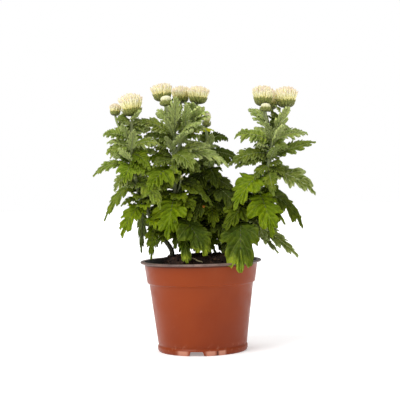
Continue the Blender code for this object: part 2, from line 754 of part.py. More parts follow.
def back_leaf(stalk, z, number, spread):
    """A leaf behind a stalk, set by steps of the golden ratio and smaller towards the top."""
    share = number * GOLDEN_STEP % 1
    angle = math.radians(90 + spread * (2 * share - 1))
    up = min(1, max(0, (z - BACK_LOW_Z) / (BACK_HIGH_Z - BACK_LOW_Z)))
    size = 1 - BACK_SHRINK * up
    reach = BACK_REACH * size
    fall = BACK_FALL_LOW + (BACK_FALL_HIGH - BACK_FALL_LOW) * up
    base = point_at_height(stalk, z)
    tip = base + Vector((reach * math.cos(angle), reach * math.sin(angle), fall))
    return Leaf(stalk, base, tip, BACK_ARCH * size, BACK_WIDTH * size, BACK_TILT)


def grow_leaves():
    """All leaves, each turned aside until it clears what grew before it."""
    room = Room()
    room.add(*turned_surface(POT_TOP, POT_TOP_STEPS))
    for node, stalks in STEMS.items():
        for stalk in stalks:
            mesh = tube_mesh(stalk)
            room.add([v.co / MM for v in mesh.vertices], [tuple(p.vertices) for p in mesh.polygons], node)
            bpy.data.meshes.remove(mesh)
    for table in (BLOOMS, BUDS):
        for name in table:
            room.add(*head_space(name, table))
    wanted = []
    for stalk, z, tip, arch, width, tilt in FRONT_LEAVES:
        base = point_at_height(stalk, z)
        wanted.append((Leaf(stalk, base, leaned(stalk, tip), arch, width, tilt), False))
    for stalk, low, high, count, spread in BACK_LEAVES:
        for number in range(count):
            z = low + (high - low) * number / (count - 1)
            wanted.append((back_leaf(stalk, z, number, spread), True))
    leaves = []
    for leaf, behind in wanted:
        node = node_of(leaf.stalk)
        fitted = next((one for one in choices(leaf, behind) if room.holds(one, node)), None)
        if fitted:
            room.add(*blade(fitted), node)
            leaves.append(fitted)
    return leaves


def cup_mesh(stalk, width, height, lean, rings, bracts):
    """The green cup under a head, with pointed bracts round its rim."""
    sides = 2 * bracts
    place = head_place(stalk, lean)
    points = []
    for tip_out, gap_out, tip_up, gap_up in rings:
        for side in range(sides):
            angle = side * math.tau / sides
            out, up = (tip_out, tip_up) if side % 2 == 0 else (gap_out, gap_up)
            radius = out * width
            point = Vector((radius * math.cos(angle), radius * math.sin(angle), up * height + SEAT))
            points.append(place @ point)
    faces = [tuple(range(sides))[::-1], tuple(range(len(points) - sides, len(points)))]
    for ring in range(len(rings) - 1):
        for side in range(sides):
            a, b = ring * sides + side, ring * sides + (side + 1) % sides
            faces += [(a, b, b + sides), (a, b + sides, a + sides)]
    return mesh_from(points, faces, "cup")


def petal_mesh(angle, low, high, half_width, depth):
    """A three-sided petal that leans out from low (radius, height) to high."""
    lean = (high[0] - low[0]) / (high[1] - low[1])
    belly = (
        low[0] + PETAL_BELLY_OUT * (high[0] - low[0]),
        low[1] + PETAL_BELLY_UP * (high[1] - low[1]),
    )
    sections = []
    for (radius, z), wide in ((low, PETAL_ROOT), (belly, 1.0)):
        sections += [
            (radius, -half_width * wide, z),
            (radius, half_width * wide, z),
            (radius - depth, 0, z + depth * lean),
        ]
    points = sections + [(high[0], 0, high[1])]
    faces = [(0, 2, 1), (0, 1, 4, 3), (1, 2, 5, 4), (2, 0, 3, 5), (3, 4, 6), (4, 5, 6), (5, 3, 6)]
    turn = Matrix.Rotation(angle, 3, "Z")
    mesh = mesh_from([turn @ Vector(point) for point in points], faces, "petal")
    shape = bmesh.new()
    shape.from_mesh(mesh)
    bmesh.ops.triangulate(shape, faces=shape.faces)
    shape.to_mesh(mesh)
    shape.free()
    return mesh


def bloom_mesh():
    """A half-open head: three rings of petals that stand out of a small core."""
    low_radius, high_radius, depth, middle = (size * MM for size in CORE)
    shape = bmesh.new()
    bmesh.ops.create_cone(
        shape, cap_ends=True, segments=CORE_SIDES, radius1=low_radius, radius2=high_radius,
        depth=depth, matrix=Matrix.Translation((0, 0, middle)),
    )
    core = bpy.data.meshes.new("core")
    shape.to_mesh(core)
    shape.free()
    petals = []
    for count, start, low, high, half_width, petal_depth in PETAL_RINGS:
        for number in range(count):
            angle = start + number * math.tau / count
            petals.append(petal_mesh(angle, low, high, half_width, petal_depth))
    return joined("bloom", core, petals)


def bud_mesh(width, height):
    """A closed bud with its petals as ridges."""
    shape = bmesh.new()
    bmesh.ops.create_uvsphere(shape, u_segments=2 * BUD_RIDGES, v_segments=BUD_RINGS, radius=1)
    for vertex in shape.verts:
        angle = math.atan2(vertex.co.y, vertex.co.x)
        ridge = 1 - BUD_RIDGE_DEPTH * (1 - math.cos(BUD_RIDGES * angle))
        full = 1 + BUD_TOP_FULLNESS * vertex.co.z
        vertex.co.x *= ridge * full * width / 2 * MM
        vertex.co.y *= ridge * full * width / 2 * MM
        vertex.co.z = (vertex.co.z + 1) * height / 2 * MM
    mesh = bpy.data.meshes.new("bud")
    shape.to_mesh(mesh)
    shape.free()
    return mesh


def make_stems(parts, leaf_material):
    leaves = grow_leaves()
    for node, stalks in STEMS.items():
        tubes = [tube_mesh(stalk) for stalk in stalks]
        others = tubes[1:]
        for leaf in leaves:
            if leaf.stalk in stalks:
                points, faces = blade(leaf)
                others.append(mesh_from(points, faces, "leaf"))
        for table, rings, bracts in ((BLOOMS, BLOOM_CUP, 6), (BUDS, BUD_CUP, 5)):
            others += [cup_mesh(*head, rings, bracts) for head in table.values() if head[0] in stalks]
        new_object(node, joined(node, tubes[0], others), parts, leaf_material)


def make_heads(parts, petal_material, bud_material):
    shared = bloom_mesh()
    shared.materials.append(petal_material)
    for number, (name, (stalk, width, height, lean)) in enumerate(BLOOMS.items()):
        bloom = new_object(name, shared, parts)
        size = Matrix.Diagonal((width / BLOOM_SIZE, width / BLOOM_SIZE, height / BLOOM_SIZE, 1))
        turn = Matrix.Rotation(number * HEAD_TURN, 4, "Z")
        place = head_place(stalk, lean)
        raised = Matrix.Translation((0, 0, (SEAT + GAP - CUP_PLAY * width) * MM))
        bloom.matrix_world = (
            Matrix.Translation(place.translation * MM) @ place.to_3x3().to_4x4() @ raised @ size @ turn
        )
    for name, (stalk, width, height, lean) in BUDS.items():
        mesh = bud_mesh(width, height)
        place = head_place(stalk, lean)
        raised = Matrix.Translation((0, 0, (SEAT + GAP + BUD_SEAT * height) * MM))
        mesh.transform(Matrix.Translation(place.translation * MM) @ place.to_3x3().to_4x4() @ raised)
        new_object(name, mesh, parts, bud_material)


def main():
    clear_scene()
    parts = new_collection("potted_chrysanthemum")
    cutters = new_collection("cutters", hidden=True)
    leaf_material = new_material("leaf_green", COLOURS["leaf"], 0.5)
    make_pot(parts, cutters)
    make_soil(parts, cutters)
    make_stems(parts, leaf_material)
    make_heads(
        parts,
        new_material("petal_cream", COLOURS["petal"], 0.6),
        new_material("bud_cream", COLOURS["bud"], 0.6),
    )
    axis = bpy.data.objects.new("pot_axis", None)
    parts.objects.link(axis)
    axis.location = POT_AXIS
    for obj in [*parts.objects, *cutters.all_objects]:
        if obj is not axis:
            obj.parent = axis


main()
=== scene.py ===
"""A potted chrysanthemum: nursery pot, crumbly soil, five leafy stems, half-open blooms and buds.

Places are written from the pot's axis at the ground, in millimetres, with X to the right and -Y
towards the viewer. Every finished mesh is moved to the pot's axis once, at its end.
"""

import math
import random
from collections import namedtuple
from itertools import product

import bpy
import numpy as np
from mathutils import Matrix, Vector, noise
from mathutils.bvhtree import BVHTree


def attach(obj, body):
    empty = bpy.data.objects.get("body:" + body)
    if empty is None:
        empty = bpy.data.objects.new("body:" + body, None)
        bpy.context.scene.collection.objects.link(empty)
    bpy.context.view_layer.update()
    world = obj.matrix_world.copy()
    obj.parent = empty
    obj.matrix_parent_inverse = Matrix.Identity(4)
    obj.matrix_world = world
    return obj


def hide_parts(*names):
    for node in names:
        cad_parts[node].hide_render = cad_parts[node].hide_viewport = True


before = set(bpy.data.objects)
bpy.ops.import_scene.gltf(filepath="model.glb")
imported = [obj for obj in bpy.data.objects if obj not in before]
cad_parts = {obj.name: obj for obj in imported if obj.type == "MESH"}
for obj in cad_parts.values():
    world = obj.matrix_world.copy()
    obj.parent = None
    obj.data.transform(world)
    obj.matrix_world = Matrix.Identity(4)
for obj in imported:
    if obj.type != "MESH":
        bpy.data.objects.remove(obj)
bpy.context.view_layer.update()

MM = 0.001
POT_AXIS = Vector((-9.0, -1.8, 0.0)) * MM

# The pot
LIP_RADIUS = 70.0
LIP_THICKNESS = 2.6
POT_HEIGHT = 104.0
COLLAR_TOP = 65.4
COLLAR_BOTTOM = 62.4
COLLAR_FOOT_Z = 79.0
STEP_Z = 77.0
STEP_DEPTH = 2.4
BODY_BOTTOM = 51.2
FOOT_TOP_Z = 8.0
FOOT_BEAD = 52.0
FOOT_RADIUS = 50.8
FOOT_WIDTH = 3.6
WALL = 1.2
FLOOR_Z = 5.4
POT_STEPS = 144
NOTCHES = 3
NOTCH_WIDTH = 17.8
NOTCH_TOP_WIDTH = 14.3
NOTCH_HEIGHT = 5.0
NOTCH_DEPTH = 10.0
NOTCH_ROUNDING = 0.9
FIRST_NOTCH_ANGLE = math.radians(-98)
DRAINS = 6
DRAIN_RADIUS = 4.0
DRAIN_CIRCLE = 33.0
DRAIN_SIDES = 24
DRAIN_CUT = 8.0
# A face counts as level when its normal rises by at least this much.
LEVEL = 0.8

# The soil
GAP = 0.3
SOIL_RIM_Z = 95.0
HEAP_Z = 109.0
HEAP_RADIUS = 37.0
HEAP_SLOPE = 14.0
HEAP_WANDER = 4.0
HEAP_PATTERN = 0.05
SOIL_BUMP = 1.3
SOIL_PATTERN = 0.23
SOIL_EDGE = 0.4
SOIL_STEPS = 150
SOIL_RINGS = 64
SOIL_FADE = 3.0

# The leaves
BLADE = 0.7
PETIOLE = 0.95
CLEARANCE = 0.9
BROAD_WIDTH = 21.0
UPPER_LEAVES_Z = 200.0
BEND_SHARE = 0.42
FOLD_HELD = 0.22
FOLD_HANGING = 0.10
HANGING_FALL = 12.0
WAVE = 0.22
WAVE_COUNT = 11.0
WAVE_SIDE = 1.3
# How far a leaf's halves and lobes differ, and how much slimmer one that is tipped on edge is drawn
UNEVEN_SIDES = 0.10
UNEVEN_LOBES = 0.06
SLIMMING = 0.12
PETIOLE_HALF = 0.75
# The blade's relief as shares of its width, and how many times more of it young and old leaves have
QUILT = 0.030
DROOP = 0.085
RUFFLE = 0.034
CRINKLE = 0.020
YOUNG_FRILL = 2.0
OLD_FRILL = 1.3

# Each place is x, y, z and the radius there.
STALKS = {
    "left": (
        (-33, 0, 84, 2.8), (-33, 0, 114, 2.8), (-46, 0, 135, 2.6), (-59, -1, 160, 2.5),
        (-69, -3, 185, 2.3), (-75, -6, 212, 2.1), (-77, -9, 236, 1.9), (-75, -9, 256, 1.7),
        (-73, -8, 272, 1.6),
    ),
    "left_small": ((-77, -9, 236, 1.6), (-83, -4, 250, 1.4), (-91, 3, 262, 1.3), (-94, 5, 273, 1.3)),
    "centre": (
        (-16, -10, 84, 2.9), (-16, -10, 114, 2.9), (-20, -10, 132, 2.8), (-24, -10, 152, 2.7),
        (-27, -9, 176, 2.5), (-28, -8, 198, 2.4), (-28, -8, 224, 2.1), (-27, -9, 243, 1.8),
        (-28, -10, 262, 1.7), (-34.5, -10, 277, 1.6), (-39, -10, 289, 1.6),
    ),
    "centre_right": ((-28, -8, 222, 1.9), (-18, -6, 243, 1.8), (-8, -4, 262, 1.7), (0.8, 0, 285.5, 1.6)),
    "centre_back": ((-27, -9, 240, 1.6), (-25, 2, 262, 1.5), (-20, 10, 276, 1.4), (-18.5, 12, 287.5, 1.4)),
    "centre_bud": ((-28, -10, 260, 1.3), (-32, -19, 271, 1.2), (-34.6, -23, 282, 1.2)),
    "low_bud": ((-27, -9, 180, 1.1), (-22, -18, 189, 1.0), (-20.8, -20, 197, 0.9)),
    "middle": (
        (10, 14, 84, 2.7), (10, 14, 114, 2.7), (13, 16, 160, 2.5), (12, 15, 205, 2.2),
        (11, 12, 240, 1.8), (10, 8, 259, 1.5),
    ),
    "right": (
        (32, -2, 84, 3.0), (32, -2, 114, 3.0), (45, -2, 136, 2.8), (58, -3, 160, 2.6),
        (70, -5, 185, 2.4), (80, -8, 207, 2.3), (86, -8, 237, 2.1), (92, -4, 254, 1.8),
        (100, 0, 268, 1.6), (103.6, 2, 280, 1.6),
    ),
    "right_left": ((85.5, -8, 234, 1.8), (84, -8, 252, 1.7), (79, -8, 268, 1.6), (76.4, -8, 282, 1.6)),
    "right_back": ((86, -8, 238, 1.5), (88, 4, 258, 1.4), (89, 16, 279, 1.3)),
    "right_bud": ((84, -8, 250, 1.3), (81, -14, 262, 1.2), (78.6, -17, 274, 1.2)),
    "back": (
        (-4, 34, 84, 2.5), (-4, 34, 114, 2.5), (0, 36, 145, 2.3), (3, 37, 180, 2.0), (1, 35, 214, 1.5),
    ),
}
SEAT = 1.0
# How far each outer shoot leans away from the viewer for each millimetre above the soil
LEFT_LEAN = -0.11
RIGHT_LEAN = 0.09
LEAN = {
    "left": LEFT_LEAN, "left_small": LEFT_LEAN,
    "right": RIGHT_LEAN, "right_left": RIGHT_LEAN, "right_back": RIGHT_LEAN, "right_bud": RIGHT_LEAN,
}
LEAN_FROM_Z = 114.0
STEMS = {
    "stem_left": ("left", "left_small"),
    "stem_centre": ("centre", "centre_right", "centre_back", "centre_bud", "low_bud"),
    "stem_middle": ("middle",),
    "stem_right": ("right", "right_left", "right_back", "right_bud"),
    "stem_back": ("back",),
}
# Each head's stalk, its width and height with the green cup, how far it leans to the right, and, where
# that is not as usual, how far up it the bracts reach, as a share of the usual.
Head = namedtuple("Head", "stalk width height lean bracts", defaults=(1,))
BLOOMS = {
    "bloom_left_large": Head("left", 26.5, 25.0, -7, 0.85),
    "bloom_left_small": Head("left_small", 13.5, 13.5, 4),
    "bloom_centre_left": Head("centre", 24.5, 20.0, -6, 1.15),
    "bloom_centre_back": Head("centre_back", 21.5, 19.5, 0),
    "bloom_centre_right": Head("centre_right", 24.5, 20.0, 5),
    "bloom_right_left": Head("right_left", 24.5, 23.0, 2, 1.15),
    "bloom_right_right": Head("right", 26.0, 24.0, 2),
    "bloom_right_back": Head("right_back", 14.0, 21.5, 0),
}
BUDS = {
    "bud_centre": Head("centre_bud", 12.5, 9.5, -5, 0.8),
    "bud_side": Head("middle", 8.5, 14.5, 8, 0.55),
    "bud_right": Head("right_bud", 11.5, 8.0, 4, 0.8),
    "bud_low": Head("low_bud", 4.6, 5.0, 5, 0.8),
}
BLOOM_SIZE = 24.5
CUP_PLAY = 0.042
BUD_SEAT = 0.12
Leaf = namedtuple("Leaf", "stalk base tip arch width tilt")

# Each leaf that the front view shows: its stalk, the height where it grows, its tip, the rise of
# its arch, its width, how far its near edge is tipped down, in degrees, and its tone.
FRONT_LEAVES = (
    ("right", 142, (43, -64, 96), 19, 38, 0, "hanging"),
    ("right", 180, (82, -44, 131), 9, 36, 0, "bright"),
    ("centre", 178, (-37, -46, 131), 9, 37, 0, "bright"),
    ("centre", 152, (6, -50, 113), 9, 36, 0, "hanging"),
    ("centre", 211, (-57, -42, 187), 6, 34, 18, "bright"),
    ("right", 198, (38, -42, 162), 10, 30, 18, "bright"),
    ("left", 209, (-121, -18, 203), 11, 14, 48, "green"),
    ("right", 221, (137, -14, 238), 1.5, 18, 52, "green"),
    ("right", 197, (133, -28, 177), 12, 30, 40, "soft"),
    ("right", 238, (43, -24, 248), 4, 25, 46, "green"),
    ("right", 224, (34, -22, 213), 6, 20, 48, "green"),
    ("right", 240, (129, -4, 248), 4.5, 18, 48, "grey"),
    ("centre", 246, (-73, -24, 264), 6, 23, 48, "soft"),
    ("centre", 221, (35, -30, 212), 12, 20, 42, "grey"),
    ("centre", 224, (13, -34, 236), 4, 20, 42, "grey"),
    ("centre", 250, (-23, -26, 291), 1, 17, 0, "pale"),
    ("centre", 193, (16, -36, 167), 8, 26, 18, "green"),
    ("left", 234, (-43, -20, 238), 5, 18, 48, "soft"),
    ("left", 245, (-107, -18, 250), 3, 18, 52, "green"),
    ("left", 231, (-103, -26, 229), 3, 19, 44, "green"),
    ("left", 215, (-83, -38, 196), 5, 24, 18, "bright"),
    ("left", 204, (-95, -34, 187), 6, 20, 18, "soft"),
    ("left", 188, (-110, -20, 151), 14, 14, 42, "half_shade"),
    ("left", 166, (-89, -36, 134), 11, 24, 18, "green"),
    ("left", 177, (-89, -14, 169), 3, 8, 34, "half_shade"),
    ("left", 172, (-70, 8, 111), 4, 12, 20, "deep"),
    ("left", 145, (-45, 4, 121), 4, 10, 18, "half_shade"),
    ("centre", 208, (-77, -4, 179), 6, 24, 34, "soft"),
    ("centre", 233, (-60, 2, 239), 6, 18, 48, "green"),
    ("centre", 262, (-47, -20, 280), 2, 18, 34, "grey"),
    ("centre", 136, (-15, -54, 105), 8, 14, 0, "hanging"),
    ("centre", 140, (-33, -8, 112), 4, 5, 18, "dry"),
    ("centre_right", 257, (2, -20, 281), 2, 15, 15, "pale"),
    ("centre_right", 252, (14, -16, 268), 3, 19, 42, "grey"),
    ("centre_right", 248, (19, -12, 253), 3, 8, 42, "yellow"),
    ("middle", 238, (37, 22, 242), 7.5, 15, 48, "deep"),
    ("middle", 227, (49, 2, 218), 4.5, 17, 42, "deep"),
    ("middle", 168, (16, -18, 142), 7, 22, 0, "green"),
    ("middle", 192, (40, 26, 184), 5, 18, 42, "deep"),
    ("right_left", 249, (60, -14, 280), 5, 16, 42, "grey"),
    ("right", 243, (103, -28, 279), 2, 17, 0, "pale"),
    ("right", 176, (122, 3, 138), 15, 28, 52, "half_shade"),
    ("right", 158, (74, -34, 119), 8, 20, 0, "soft"),
    ("right", 150, (113, -20, 106), 4, 21, 42, "soft"),
    ("right", 140, (88, 16, 111), 8, 8, 34, "deep"),
    ("right", 190, (42, 16, 176), 6, 18, 34, "deep"),
    ("middle", 152, (34, -24, 121), 8, 28, 10, "deep"),
    ("middle", 188, (45, -8, 160), 8, 28, 25, "deep"),
    ("right", 166, (29, -24, 134), 8, 28, 25, "green"),
    ("middle", 209, (21, -12, 187), 6, 20, 25, "deep"),
    ("left", 196, (-43, -24, 166), 8, 24, 25, "green"),
    ("centre", 166, (-56, -18, 135), 6, 22, 30, "half_shade"),
    ("middle", 206, (-12, -12, 182), 7, 26, 25, "deep"),
    ("middle", 142, (-8, -24, 117), 8, 26, 10, "deep"),
    ("centre", 240, (3, -26, 260), 4, 20, 35, "grey"),
    ("centre", 240, (-52, -4, 257), 4, 20, 40, "soft"),
    ("left", 226, (-54, -20, 208), 7, 20, 30, "bright"),
    ("right", 257, (113, -8, 262), 3, 12, 40, "grey"),
    ("back", 176, (28, 22, 150), 8, 26, 25, "deep"),
    ("centre", 215, (-58, -14, 221), 4, 23, 36, "bright"),
    ("left", 221, (-60, -34, 199), 5, 20, 15, "bright"),
    ("centre", 214, (2, -28, 206), 6, 22, 25, "green"),
    ("centre", 234, (-6, -22, 263), 3, 20, 20, "grey"),
    ("centre_right", 250, (-12, -13, 283), 2, 13, 20, "grey"),
    ("centre", 172, (2, -26, 157), 6, 24, 15, "green"),
    ("middle", 148, (30, -8, 112), 6, 20, 10, "deep"),
    ("right", 198, (44, -20, 185), 6, 20, 25, "green"),
    ("right", 208, (99, -26, 198), 4, 14, 25, "green"),
    ("right", 211, (63, -22, 196), 3, 13, 25, "green"),
    ("right", 211, (95, -16, 214), 2, 11, 40, "green"),
    ("left", 149, (-56, -12, 119), 4, 12, 15, "half_shade"),
    ("left", 156, (-51, 6, 115), 4, 14, 20, "half_shade"),
    ("centre", 220, (-52, -18, 213), 3, 14, 30, "green"),
    ("middle", 210, (-16, -6, 203), 4, 16, 20, "deep"),
)
# Smaller leaves that fill the shoots out, finer than the solids have them
FILL_LEAVES = (
    ("centre", 226, (-6, -26, 205), 5, 22, 25, "green"),
    ("centre", 202, (-45, -22, 186), 4, 20, 25, "green"),
    ("centre", 176, (-6, -24, 155), 6, 24, 15, "green"),
    ("left", 256, (-56, -16, 262), 4, 20, 40, "green"),
    ("left", 262, (-92, -14, 268), 3, 15, 40, "green"),
    ("left", 264, (-63, -12, 274), 2, 13, 35, "grey"),
    ("centre_right", 256, (12, -12, 274), 3, 14, 35, "grey"),
    ("centre", 250, (-14, -20, 268), 3, 16, 25, "grey"),
    ("right", 222, (44, -18, 217), 3, 15, 40, "green"),
    ("right", 236, (62, -18, 243), 4, 18, 42, "grey"),
    ("right", 206, (84, -26, 184), 5, 15, 20, "green"),
    ("left", 248, (-53, -14, 257), 4, 17, 40, "grey"),
    ("centre_right", 240, (2, -22, 245), 3, 15, 30, "green"),
    ("right", 166, (98, -30, 144), 5, 18, 15, "green"),
    ("right", 144, (90, -26, 110), 4, 14, 20, "soft"),
    ("centre", 240, (-62, -18, 248), 4, 18, 40, "green"),
    ("centre_right", 262, (9, -6, 283), 2, 13, 30, "grey"),
    ("centre_right", 250, (9, -14, 267), 3, 15, 35, "grey"),
    ("right", 250, (108, -8, 266), 3, 14, 40, "grey"),
    ("right", 224, (102, -14, 232), 4, 16, 40, "green"),
    ("right_left", 262, (67, -12, 277), 2, 10, 40, "grey"),
    ("left", 236, (-98, -14, 228), 3, 15, 40, "green"),
    ("middle", 222, (40, -6, 214), 4, 18, 40, "deep"),
    ("right", 216, (41, -16, 209), 5, 16, 35, "green"),
    ("right", 254, (107, -10, 265), 3, 12, 40, "grey"),
    ("right", 236, (78, -22, 262), 2, 13, 10, "grey"),
    ("right", 230, (96, -24, 258), 2, 13, 20, "pale"),
    ("right", 216, (90, -26, 240), 2, 13, 15, "green"),
    ("right", 226, (68, -24, 246), 3, 13, 20, "grey"),
    ("left", 240, (-84, -24, 262), 2, 11, 10, "grey"),
    ("left", 226, (-70, -26, 250), 2, 12, 10, "grey"),
    ("left", 216, (-86, -28, 240), 2, 12, 15, "grey"),
    ("centre", 244, (-36, -26, 270), 2, 12, 15, "grey"),
    ("centre", 226, (-36, -28, 250), 2, 13, 10, "grey"),
    ("middle", 208, (14, -8, 232), 3, 14, 15, "green"),
    ("middle", 226, (16, -6, 250), 2, 12, 15, "grey"),
    ("centre_right", 266, (-6, -10, 286), 2, 13, 20, "grey"),
    ("centre", 146, (-28, -26, 120), 5, 16, 20, "deep"),
    ("right", 140, (24, -20, 112), 5, 18, 15, "deep"),
    ("left", 232, (-100, -10, 236), 4, 18, 44, "green"),
    ("middle", 180, (-6, -18, 150), 7, 24, 20, "deep"),
    ("left", 222, (-46, -26, 225), 4, 16, 30, "green"),
    ("left", 212, (-48, -26, 211), 3, 13, 30, "green"),
    ("right", 194, (39, -28, 186), 4, 17, 20, "green"),
    ("middle", 196, (41, 0, 182), 5, 18, 30, "half_shade"),
    ("right", 200, (95, -24, 212), 2, 10, 20, "green"),
    ("right", 240, (66, -14, 258), 3, 15, 40, "grey"),
    ("right", 248, (106, -12, 258), 3, 14, 40, "grey"),
    ("right", 232, (104, -12, 246), 3, 12, 45, "green"),
    ("middle", 172, (34, -20, 152), 6, 18, 15, "deep"),
    ("left", 238, (-102, -22, 241), 2, 12, 44, "grey"),
    ("centre", 236, (-29, -22, 221), 2, 10, 10, "soft"),
    ("centre", 220, (-27, -21, 203), 2, 11, 8, "green"),
    ("centre", 204, (-25, -22, 187), 3, 12, 8, "green"),
    ("left", 224, (-64, -8, 230), 5, 20, 40, "green"),
)
# The leaves behind: their stalk, the lowest and highest height, how many, and the spread to
# either side of straight back, in degrees.
BACK_LEAVES = (
    ("left", 140, 240, 5, 55),
    ("centre", 150, 250, 4, 45),
    ("middle", 130, 240, 5, 60),
    ("right", 150, 240, 5, 55),
    ("back", 128, 214, 6, 80),
)
# The tones of the leaves behind, below the young ones and among them; the darker one below is painted shade
BACK_TONES = (("green", "deep"), ("green", "bright", "grey"))
GOLDEN_STEP = 0.618
BACK_LOW_Z = 130.0
BACK_HIGH_Z = 245.0
BACK_SHRINK = 0.42
BACK_REACH = 42.0
BACK_ARCH = 8.0
BACK_WIDTH = 30.0
BACK_TILT = 10.0
BACK_FALL_LOW = -34.0
BACK_FALL_HIGH = 10.0

# A leaf that meets something is turned aside and raised or lowered in steps until it is clear.
ASIDE_STEPS = 8
LIFT_STEPS = 5
LIFT_COST = 1.5
FRONT_ASIDE = 4.0
FRONT_LIFT = 2.5
BACK_ASIDE = math.radians(6)
BACK_LIFT = 4.0

# The plain outlines that leaves are tried with, the same as in the solids.
BROAD_EDGE = (
    (0, 0), (0.16, 0), (0.30, 0.43), (0.38, 0.29), (0.58, 0.54), (0.66, 0.36), (0.85, 0.34), (1, 0),
)
BROAD_SPINE = (0, 0.16, 0.24, 0.36, 0.48, 0.62, 0.76, 1)
NARROW_EDGE = ((0, 0), (0.14, 0), (0.40, 0.48), (0.50, 0.34), (0.74, 0.44), (1, 0))
NARROW_SPINE = (0, 0.14, 0.32, 0.48, 0.64, 1)
POT_TOP = (
    (0, 112), (30, 112), (42, 104), (63.8, 97), (64.9, 104.3), (70.3, 104.3), (70.3, 101.3),
    (65.6, 100.8), (62.6, 79), (60.2, 77), (51, 5),
)
POT_TOP_STEPS = 24
HEAD_RINGS = ((0.5, 0.0), (0.98, 0.14), (1.08, 0.36), (1.05, 0.7), (0.88, 1.0))
HEAD_SIDES = 10

# The small leaves in the axils: their stalk, the lowest and highest height, the rise from one to
# the next, the length of a low and of a high one, and how steeply a low and a high one stand.
SMALL_LEAVES = (
    ("left", 140, 266, 2.6, 34, 17, -25, 45),
    ("left_small", 242, 268, 3.0, 17, 12, 20, 50),
    ("centre", 136, 284, 2.4, 36, 17, -25, 50),
    ("centre_right", 230, 280, 2.8, 24, 15, 10, 50),
    ("centre_back", 246, 284, 3.5, 20, 13, 20, 55),
    ("middle", 132, 254, 2.6, 36, 17, -30, 45),
    ("right", 140, 274, 2.5, 34, 17, -25, 45),
    ("right_left", 238, 276, 3.0, 22, 14, 20, 55),
    ("right_back", 244, 274, 3.5, 18, 13, 25, 55),
    ("back", 124, 212, 3.0, 36, 22, -25, 45),
)
# The tones of the small leaves below the young ones, on the inner shoots and on the outer two; the darker
# ones are painted shade
SMALL_TONES = (("green", "deep", "green"), ("green", "soft", "half_shade"))
# Above this height the small leaves have the young tones, each in its turn; the two darker ones are painted
# shade in the gaps.
SMALL_YOUNG_Z = 215.0
SMALL_YOUNG_TONES = ("grey", "deep", "half_shade")
GOLDEN_ANGLE = math.radians(137.5)
# Above this height no small leaf points this straight at the viewer, so that the stalks show.
BARE_FRONT_Z = 205.0
BARE_FRONT = -0.6
SMALL_CLEARANCE = 0.15
SMALL_SIZES = (1.0, 0.78, 0.6)
SMALL_LIFTS = (0, 22, -22, 40)
SMALL_TURNS = (0, 1, -1, 2, -2, 3, -3)
SMALL_TURN = math.radians(24)
SMALL_LENGTH_SPREAD = (0.85, 1.15)
SMALL_PITCH_SPREAD = (-12, 12)
SMALL_ARCH = 0.12
SMALL_WIDTH = 0.56
SIDE_TILT = 30
FRONT_TILT = 10
# Windows that stay open between the shoots, in the front view: left, right, bottom and top, and the
# places along a leaf that are looked at there
WINDOW_SHARES = (0.4, 0.7, 1.0)
OPEN_WINDOWS = (
    (14, 62, 190, 214), (32, 56, 152, 170), (-72, -56, 229, 238), (-23, -17, 222, 228),
    (-75, -52, 100, 131), (110, 160, 196, 226), (-140, -98, 160, 184), (56, 70, 118, 140),
    (-78, -58, 138, 160), (-140, -100, 255, 290), (92, 140, 165, 190), (96, 140, 214, 226),
    (-140, -108, 214, 290), (118, 160, 100, 290), (96, 112, 203, 222), (86, 112, 168, 196),
    (62, 78, 205, 222), (-92, -78, 213, 223), (-70, -50, 226, 234), (-98, -74, 150, 176),
    (-100, -84, 208, 222), (16, 30, 247, 258), (-74, -54, 145, 164), (-48, -36, 262, 276),
)

# Where leaves turn from full grown to young ones, greyer and downy, how much lower that is on the
# shorter left shoot, and how far each tone follows
YOUNG_FROM = ((185, 0.0), (235, 1.0))
LEFT_SHORTER = 18
YOUNG_SHARE = {"green": 1.0, "bright": 0.35, "half_shade": 0.6}
# How light the leaves are at each height: painted shade on the low ones and painted light on the high ones
PAINTED_LIGHT_BY_HEIGHT = ((120, 0.85), (170, 0.98), (210, 1.20), (250, 1.58))
# How much more painted light each shoot gets at each height
PAINTED_LIGHT_BY_SHOOT = {
    "left": ((160, 2.0), (200, 1.6), (250, 1.08)),
    "centre": ((205, 1.0), (235, 1.17)),
    "centre_right": ((205, 1.0), (235, 1.17)),
}
TONES = {
    "bright": (108, 128, 3),
    "green": (92, 106, 10),
    # Darker copies of the green for leaves that lie in shade, as painted shade
    "half_shade": (68, 79, 10),
    "deep": (60, 71, 12),
    "soft": (118, 127, 56),
    "young": (110, 121, 53),
    "grey": (147, 156, 93),
    "pale": (172, 180, 113),
    "yellow": (158, 164, 30),
    "hanging": (68, 84, 8),
    "dry": (84, 62, 36),
}
# The tones of leaves covered in down, how much of it the young ones have, and how far leaves that
# stand side by side differ in lightness
DOWNY_TONES = ("grey", "pale", "soft")
YOUNG_DOWN = 0.7
LIGHT_SPREAD = (0.82, 1.18)
# The yellower tip of the low hanging leaves: its colour, where it begins and how strong it is
RIPE = (170, 186, 56)
RIPE_FROM = 0.86
RIPENESS = 0.65


def linear(red, green, blue):
    """A colour from 0 to 255 as the shader wants it."""
    shares = [value / 255 for value in (red, green, blue)]
    return tuple(s / 12.92 if s <= 0.04045 else ((s + 0.055) / 1.055) ** 2.4 for s in shares)


# Camera, floor and light


# The eye and where it looks, from the pot's axis, the view's slight roll and its lens
EYE = (0.0008, -1.25, 0.198)
AIM = (0.0008, 0.0, 0.1732)
ROLL = math.radians(1.39)
LENS = 97.25
# Each lamp's place, how wide it is in degrees of the sky, and its power
SUNS = {
    "key": ((-0.75, -0.72, 1.2), 36, 2.15),
    "fill": ((0.8, -0.7, 0.8), 50, 0.3),
    "top": ((0.1, 0.25, 1.2), 40, 1.2),
}
# The light from all round, and how white the floor is and how much it glows of itself
WORLD_LIGHT = 0.45
FLOOR_WHITE = 0.86
FLOOR_GLOW = 0.28


def linked(name, data):
    obj = bpy.data.objects.new(name, data)
    bpy.context.scene.collection.objects.link(obj)
    return obj


